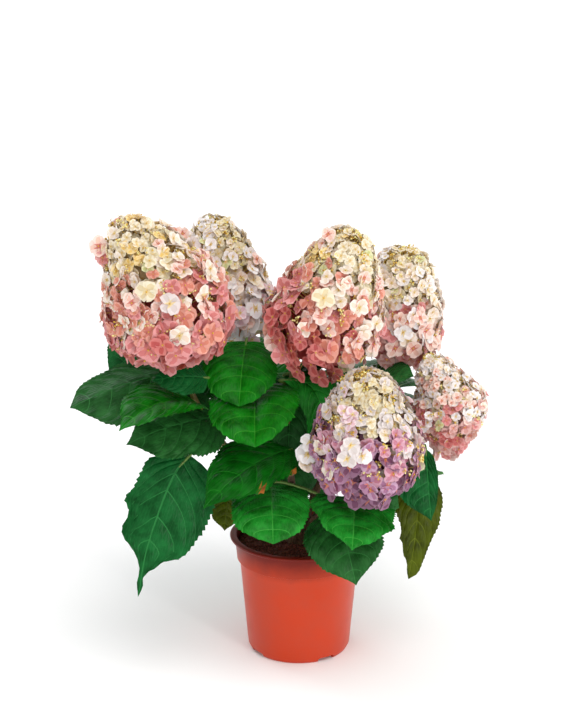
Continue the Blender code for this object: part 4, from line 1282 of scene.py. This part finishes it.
class HYDRANGEA_OT_wood(bpy.types.Operator):
    """Grow the woody base, the canes and the leafy stems"""
    bl_idname = "hydrangea.wood"
    bl_label = "Woody base and stems"

    def execute(self, context):
        settings = context.scene.hydrangea_stems
        bark = stem_finish("fissured_bark", settings.bark, settings.furrow, 0.85)
        rind = stem_finish("green_rind", settings.young, settings.bark, 0.55)
        base = self.base()
        base.data.materials.append(bark)
        finish_piece(base, 60, "woody_base")
        for name, shoot in SHOOTS.items():
            stem = self.stem(name, shoot, settings)
            stem.data.materials.clear()
            stem.data.materials.append(bark)
            stem.data.materials.append(rind)
            start = shoot_point(shoot, 0.0)
            bare = shoot.bare * (shoot_point(shoot, 1.0) - start).length
            green = [(face.center - start).length > bare for face in stem.data.polygons]
            stem.data.polygons.foreach_set("material_index", np.array(green, np.int32))
            finish_piece(stem, 60, "cane_" + name)
        return {"FINISHED"}

    def base(self):
        """Stump and stubs joined by remeshing, so that they flow into each other."""
        low = SOIL_LEVEL + CLEARANCE
        profile = (
            (STOOL_RADIUS, low), (STOOL_RADIUS * 0.94, low + STOOL_HEIGHT * 0.55),
            (STOOL_RADIUS * 0.55, low + STOOL_HEIGHT),
        )
        base = turned_solid("stump", profile, 40)
        stubs = []
        radii = (STUB_RADIUS * 1.1, STUB_RADIUS * 0.98)
        for name, shoot in SHOOTS.items():
            end = stub_end(shoot)
            stubs.append(curved_limb("stub_" + name, (end - stub_aim(shoot) * STUB_LENGTH, end), radii, 16))
        select_only(base, *stubs)
        bpy.ops.object.join()
        apply_modifier(base, "REMESH", mode="VOXEL", voxel_size=0.0009)
        apply_modifier(base, "SMOOTH", factor=0.5, iterations=3)
        roughen(base, *BASE_FURROWS)
        for vertex in base.data.vertices:
            vertex.co.z = max(vertex.co.z, low)
        return base

    def stem(self, name, shoot, settings):
        """Stem from its stub to the neck of its head, furrowed along its length."""
        shares = [k / STEM_STEPS for k in range(STEM_STEPS + 1)]
        centres = [shoot_point(shoot, share) for share in shares]
        radii = [shoot_radius(name, share) for share in shares]
        stem = curved_limb("stem_" + name, centres, radii, settings.sides)
        roughen(stem, settings.relief, *STEM_FURROWS)
        return stem


class HYDRANGEA_OT_foliage(bpy.types.Operator):
    """Grow every leaf with its veins, teeth and stalk"""
    bl_idname = "hydrangea.foliage"
    bl_label = "Leaves"

    def execute(self, context):
        settings = context.scene.hydrangea_leaves
        stems = context.scene.hydrangea_stems
        finishes = []
        tones = {}
        for tone, (dark, light, line, under) in LEAF_TONES.items():
            tones[tone] = len(finishes)
            finishes += [
                blade_finish("leaf_" + tone, linear(dark), linear(light), linear(line), 0.27),
                blade_finish("vein_" + tone, linear(line), linear(line), linear(light), 0.36),
                blade_finish("underside_" + tone, linear(under), linear(under), linear(line), 0.60),
                blade_finish("rib_below_" + tone, linear(line), linear(line), linear(under), 0.60),
            ]
        scorch = len(finishes)
        finishes.append(blade_finish(
            "scorched_leaf", settings.scorch, linear("#6A3A1A"), linear("#C8903A"), 0.7))
        stalk = stem_finish("leaf_stalk", stems.stalk, linear("#52702C"), 0.5)
        for name, shoot in SHOOTS.items():
            leaves = Gather()
            stalks = Gather()
            for number, (share, leaf, tone) in enumerate(leaves_of(name)):
                chance = random.Random("leaf %s %d" % (name, number))
                points, faces, parts, places = blade(leaf, settings, chance)
                slots = parts + tones[tone]
                if (name, number) == BURNT_LEAF:
                    slots = self.burn(points, faces, slots, leaf, scorch)
                leaves.add(points, faces, slots, places)
                line = petiole(shoot, share, leaf)
                sizes = np.interp(range(len(line)), *PETIOLE_TAPER)
                stalks.add(*bar(line, [PETIOLE_RADIUS * size for size in sizes], 8), 0)
            piece = leaves.piece("foliage_" + name, finishes)
            finish_piece(piece, 75, "leaves_" + name)
            piece = stalks.piece("leaf_stalks_" + name, (stalk,))
            finish_piece(piece, 60)
        return {"FINISHED"}

    def burn(self, points, faces, slots, leaf, scorch):
        """Brown two small spots on the margin of one leaf."""
        middle = points[faces].mean(axis=1)
        axis = leaf.tip - leaf.foot
        side = axis.normalized().cross(Vector((0, 0, 1))).normalized()
        for share, out, size in BURNS:
            spot = np.array(leaf.foot + axis * share + side * (-out * leaf.width / 2))
            near = np.linalg.norm((middle - spot)[:, :2], axis=1) < size
            slots = np.where(near, scorch, slots)
        return slots


class HYDRANGEA_OT_blossom(bpy.types.Operator):
    """Grow the flower heads: stalks, four-sepalled florets and bud clusters"""
    bl_idname = "hydrangea.blossom"
    bl_label = "Flower heads"

    def execute(self, context):
        settings = context.scene.hydrangea_heads
        colours = context.scene.hydrangea_sepals
        finishes = []
        self.tints = {}
        for tint, (inner, rim) in SEPAL_TINTS.items():
            self.tints[tint] = len(finishes)
            finishes.append(petal_finish("sepal_" + tint, getattr(colours, tint)))
            finishes.append(petal_finish("sepal_rim_" + tint, linear(rim)))
        self.cream = len(finishes)
        self.ochre = self.cream + 1
        self.pedicel = self.cream + 2
        self.throat_shades = (self.cream + 3, self.cream + 4)
        finishes += [
            petal_finish("bud_cream", settings.bud_cream, 0.45),
            petal_finish("bud_ochre", settings.bud_ochre, 0.45),
            petal_finish("pedicel", settings.pedicel, 0.5),
            petal_finish("throat_pale", settings.throat_shade),
            petal_finish("throat_rosy", settings.throat_shade_rose),
        ]
        self.sepals = [self.sepal(random.Random("sepal %d" % k)) for k in range(SEPAL_KINDS)]
        self.ball = small_ball(1)
        for name, shoot in SHOOTS.items():
            head = self.head(name, shoot, settings)
            piece = head.piece("blossom_" + name, finishes)
            finish_piece(piece, 70, "bloom_" + name)
        return {"FINISHED"}

    def sepal(self, chance):
        """One sepal of unit length along X, closed, with the part of each triangle."""
        cup = chance.uniform(-0.10, 0.28)
        bend = chance.uniform(-0.22, 0.16)
        twist = chance.uniform(-0.10, 0.10)
        rows = np.array(SEPAL_ROWS)
        column, share = np.meshgrid(SEPAL_COLUMNS, rows[:, 0])
        half = rows[:, 1:] * chance.uniform(0.88, 1.14)
        start = chance.uniform(0, 6)
        x = share + 0.05 * np.sin(3.0 * column + start) * share
        y = column * half * (1.0 + 0.14 * np.sin(8.0 * share + 2.0 * column + start))
        y[-1] = chance.uniform(-0.07, 0.07)
        wave = 0.06 * np.sin(7.0 * share + 3.0 * column + start) * share
        z = cup * column ** 2 * half + bend * share ** 2 + twist * column * share + wave
        top = np.stack([x, y, z], axis=-1)
        under = top - np.array((0.0, 0.0, SEPAL_THICKNESS))
        # Part 0 is the sepal's inside, 1 its rim and 2 its claw
        parts = np.zeros((len(rows) - 1, len(SEPAL_COLUMNS) - 1), int)
        parts[1:, (0, -1)] = 1
        parts[-1, :] = 1
        parts[0, :] = 2
        # The last column's diagonals are crossed, so that no triangle lies on the rim alone
        crossed = np.arange(parts.shape[1]) == parts.shape[1] - 1
        points, faces, parts, used = closed_sheet(top, under, ((-1, 1),), parts, parts, crossed)
        return points, faces[:, ::-1], parts

    def tint_of(self, shoot, share, spot, deep, facing, chance):
        """Tint by height, in patches, paler to the right as painted light and deeper inside as painted shade,
        with strays.
        """
        tints = MOODS[shoot.mood]
        level = (1.0 - share) * (len(tints) - 1) + noise.noise(spot / PATCH) * 5.0 + chance.gauss(0.0, 0.8)
        # Painted shade deepens the tint of sunk florets, and painted light makes those facing right paler
        level += 3.0 * (deep > DEEP) * (share < 0.8) - 1.3 * facing.x
        if chance.random() < LIME_SHARE:
            return "lime"
        # Sunk florets high on the head take the painted shade tint
        if deep > DEEP and share > 0.62:
            return DEPTH_SHADE_TINT
        if chance.random() < CREAM_SHARE * (share > 0.3):
            return "cream"
        return tints[int(min(max(level, 0), len(tints) - 1))]

    def head(self, name, shoot, settings):
        """One flower head: core, middle stem, florets, strays and clusters of buds."""
        chance = random.Random("head " + name)
        gather = Gather()
        self.core(shoot, gather)
        aim = shoot_aim(shoot, 0.998)
        rachis = [shoot_point(shoot, 1.0), shoot_point(shoot, 1.0) + aim * 0.010]
        rachis += [head_centre(shoot, share) for share in (0.35, 0.6, 0.85)]
        gather.add(*bar(rachis, RACHIS_RADII, 8), self.pedicel)
        height = (Vector(shoot.tip) - Vector(shoot.seat)).length
        area = shoot.radius * height / (WIDEST_HEAD[0] * WIDEST_HEAD[1])
        count = int(settings.florets * area * (WIDEST_REACH / shoot.reach) ** 2)
        for number, share in enumerate(head_shares(count, shoot.outline)):
            turn = number * GOLDEN + chance.uniform(-0.16, 0.16)
            self.skin_floret(shoot, float(share), turn, chance, settings, gather)
        for share, place, reach, tint in STRAYS.get(name, ()):
            lean = Vector((chance.uniform(-0.3, 0.3), -1.0, chance.uniform(0.0, 0.5))).normalized()
            self.floret(shoot, Vector(place) / 1000, lean, reach / 1000, tint, share, chance, gather)
        for number in range(settings.clusters):
            share = 1.0 - 0.80 * chance.random() ** 1.4
            self.cluster(shoot, share, chance.uniform(0, 6.3), chance, settings, gather)
        return gather

    def core(self, shoot, gather):
        """Thicket of branchlets inside the head, as one lumpy body that also stands for the shade inside it,
        in painted shade tints.
        """
        sides = 18
        shares = np.linspace(0.08, 0.86, 16)
        points = []
        for share in shares:
            centre = head_centre(shoot, share)
            for j in range(sides):
                spot, facing = head_surface(shoot, share, 2 * math.pi * j / sides)
                swell = 0.66 - 0.16 * share + 0.16 * noise.noise(spot / 0.010)
                points.append(centre + (spot - centre) * swell)
        faces = tube_faces(len(shares), sides)
        middle = np.mean(points, axis=0)
        corners = np.array(points)[faces]
        out = np.cross(corners[:, 1] - corners[:, 0], corners[:, 2] - corners[:, 0])
        if (out * (corners.mean(axis=1) - middle)).sum() < 0:
            faces = faces[:, ::-1]
        # Painted shade: the lower half takes the core's shade tint, the rest the depth shade tint
        low = corners.mean(axis=1)[:, 2] < middle[2] + 0.012
        slots = np.where(low, self.tints[CORE_SHADE_TINTS[shoot.mood]], self.tints[DEPTH_SHADE_TINT])
        gather.add(np.array(points), faces, slots)

    def skin_floret(self, shoot, share, turn, chance, settings, gather):
        """Floret on the skin of a head or a little below it, where tints are deeper as painted shade."""
        spot, facing = head_surface(shoot, share, turn)
        lumps = noise.noise(spot / PATCH) * 0.10 * shoot.radius / 1000
        depths = (0.0, DEEP) if chance.random() < SKIN_SHARE else (DEEP, DEEPEST)
        deep = chance.uniform(*depths)
        side, up = cross_frame(facing)
        lean = facing + side * chance.gauss(0, settings.tilt) + up * chance.gauss(0, settings.tilt)
        lean.z = max(lean.z, lean.z * 0.4)
        reach = shoot.reach / 1000 * float(floret_share(share)) * chance.uniform(0.72, 1.12)
        tint = self.tint_of(shoot, share, spot, deep, facing, chance)
        middle = spot + facing * (lumps - deep)
        self.floret(shoot, middle, lean.normalized(), reach, tint, share, chance, gather)

    def floret(self, shoot, middle, lean, reach, name, share, chance, gather):
        """Four sepals round a bud, on a fine stalk from the head's branchlets."""
        side, up = cross_frame(lean)
        spin = chance.uniform(0, math.pi / 2)
        tint = self.tints[name]
        # The claw of each sepal takes the painted shade of the floret's middle
        throat_shade = self.throat_shades[name not in PALE_TINTS]
        cup = chance.uniform(-0.06, 0.30)
        for k in range(4):
            points, faces, rims = self.sepals[chance.randrange(len(self.sepals))]
            angle = spin + k * math.pi / 2 + chance.uniform(-0.16, 0.16)
            ahead = side * math.cos(angle) + up * math.sin(angle)
            rise = cup + chance.uniform(-0.05, 0.05)
            ahead = (ahead + lean * rise).normalized()
            across = lean.cross(ahead).normalized()
            over = ahead.cross(across)
            size = reach * chance.uniform(0.86, 1.08) * (1.06 if k % 2 else 0.96)
            grid = np.array((ahead, across, over)) * size
            base = middle + over * (0.0004 if k % 2 else 0.0)
            gather.add(points @ grid + np.array(base), faces, np.where(rims == 2, throat_shade, rims + tint))
        ball, faces = self.ball
        gather.add(ball * reach * EYE + np.array(middle + lean * EYE_LIFT), faces, self.ochre)
        root = head_centre(shoot, max(share - 0.16, 0.04))
        gather.add(*bar((root, middle), STALK_RADII, 3), self.pedicel)

    def cluster(self, shoot, share, turn, chance, settings, gather):
        """Star of unopened buds on thin stalks."""
        spot, facing = head_surface(shoot, share, turn)
        root = spot - facing * chance.uniform(0.004, 0.010)
        side, up = cross_frame(facing)
        ball, faces = self.ball
        stalk = shoot.reach / 1000 * 0.48
        for k in range(chance.randint(4, 7)):
            angle = chance.uniform(0, 6.3)
            lean = facing + (side * math.cos(angle) + up * math.sin(angle)) * chance.uniform(0.2, 1.0)
            tip = root + lean.normalized() * stalk * chance.uniform(0.7, 1.15)
            gather.add(*bar((root, tip), BUD_STALK_RADII, 3), self.pedicel)
            size = settings.bud * chance.uniform(0.8, 1.25)
            slot = self.ochre if chance.random() < OCHRE_SHARE else self.cream
            gather.add(ball * size + np.array(tip), faces, slot)


class HYDRANGEA_PT_panel(bpy.types.Panel):
    """Sizes, colours and steps of the potted hydrangea"""
    bl_label = "Potted Hydrangea"
    bl_space_type = "VIEW_3D"
    bl_region_type = "UI"
    bl_category = "Hydrangea"

    def draw(self, context):
        for group, (words, kind, operators) in STEPS.items():
            box = self.layout.box()
            box.label(text=words)
            settings = getattr(context.scene, group)
            for name in type(settings).__annotations__:
                box.prop(settings, name)
            for operator in operators:
                box.operator(operator)


class SepalColours(bpy.types.PropertyGroup):
    """One colour for each sepal tint"""


SepalColours.__annotations__ = {
    tint: colour_setting(tint.capitalize(), colours[0], "Inner colour of the %s sepals" % tint)
    for tint, colours in SEPAL_TINTS.items()
}

# Groups of settings, each with its label and the operators listed under it
STEPS = {
    "hydrangea_stage": ("Stage", StageSettings, ("hydrangea.stage",)),
    "hydrangea_pot": ("Pot and compost", PotSettings, ("hydrangea.pot", "hydrangea.compost")),
    "hydrangea_stems": ("Stems", StemSettings, ("hydrangea.wood",)),
    "hydrangea_leaves": ("Leaves", LeafSettings, ("hydrangea.foliage",)),
    "hydrangea_heads": ("Flower heads", HeadSettings, ("hydrangea.blossom",)),
    "hydrangea_sepals": ("Sepals", SepalColours, ()),
}
CLASSES = (
    *(kind for words, kind, operators in STEPS.values()), HYDRANGEA_OT_stage, HYDRANGEA_OT_pot,
    HYDRANGEA_OT_compost, HYDRANGEA_OT_wood, HYDRANGEA_OT_foliage, HYDRANGEA_OT_blossom, HYDRANGEA_PT_panel,
)


def register():
    for kind in CLASSES:
        bpy.utils.register_class(kind)
    for group, (words, kind, operators) in STEPS.items():
        setattr(bpy.types.Scene, group, bpy.props.PointerProperty(type=kind))


def unregister():
    for group in STEPS:
        delattr(bpy.types.Scene, group)
    for kind in reversed(CLASSES):
        bpy.utils.unregister_class(kind)


def main():
    register()
    bpy.ops.hydrangea.stage()
    bpy.ops.hydrangea.pot()
    bpy.ops.hydrangea.compost()
    bpy.ops.hydrangea.wood()
    bpy.ops.hydrangea.foliage()
    bpy.ops.hydrangea.blossom()


if __name__ == "__main__":
    main()
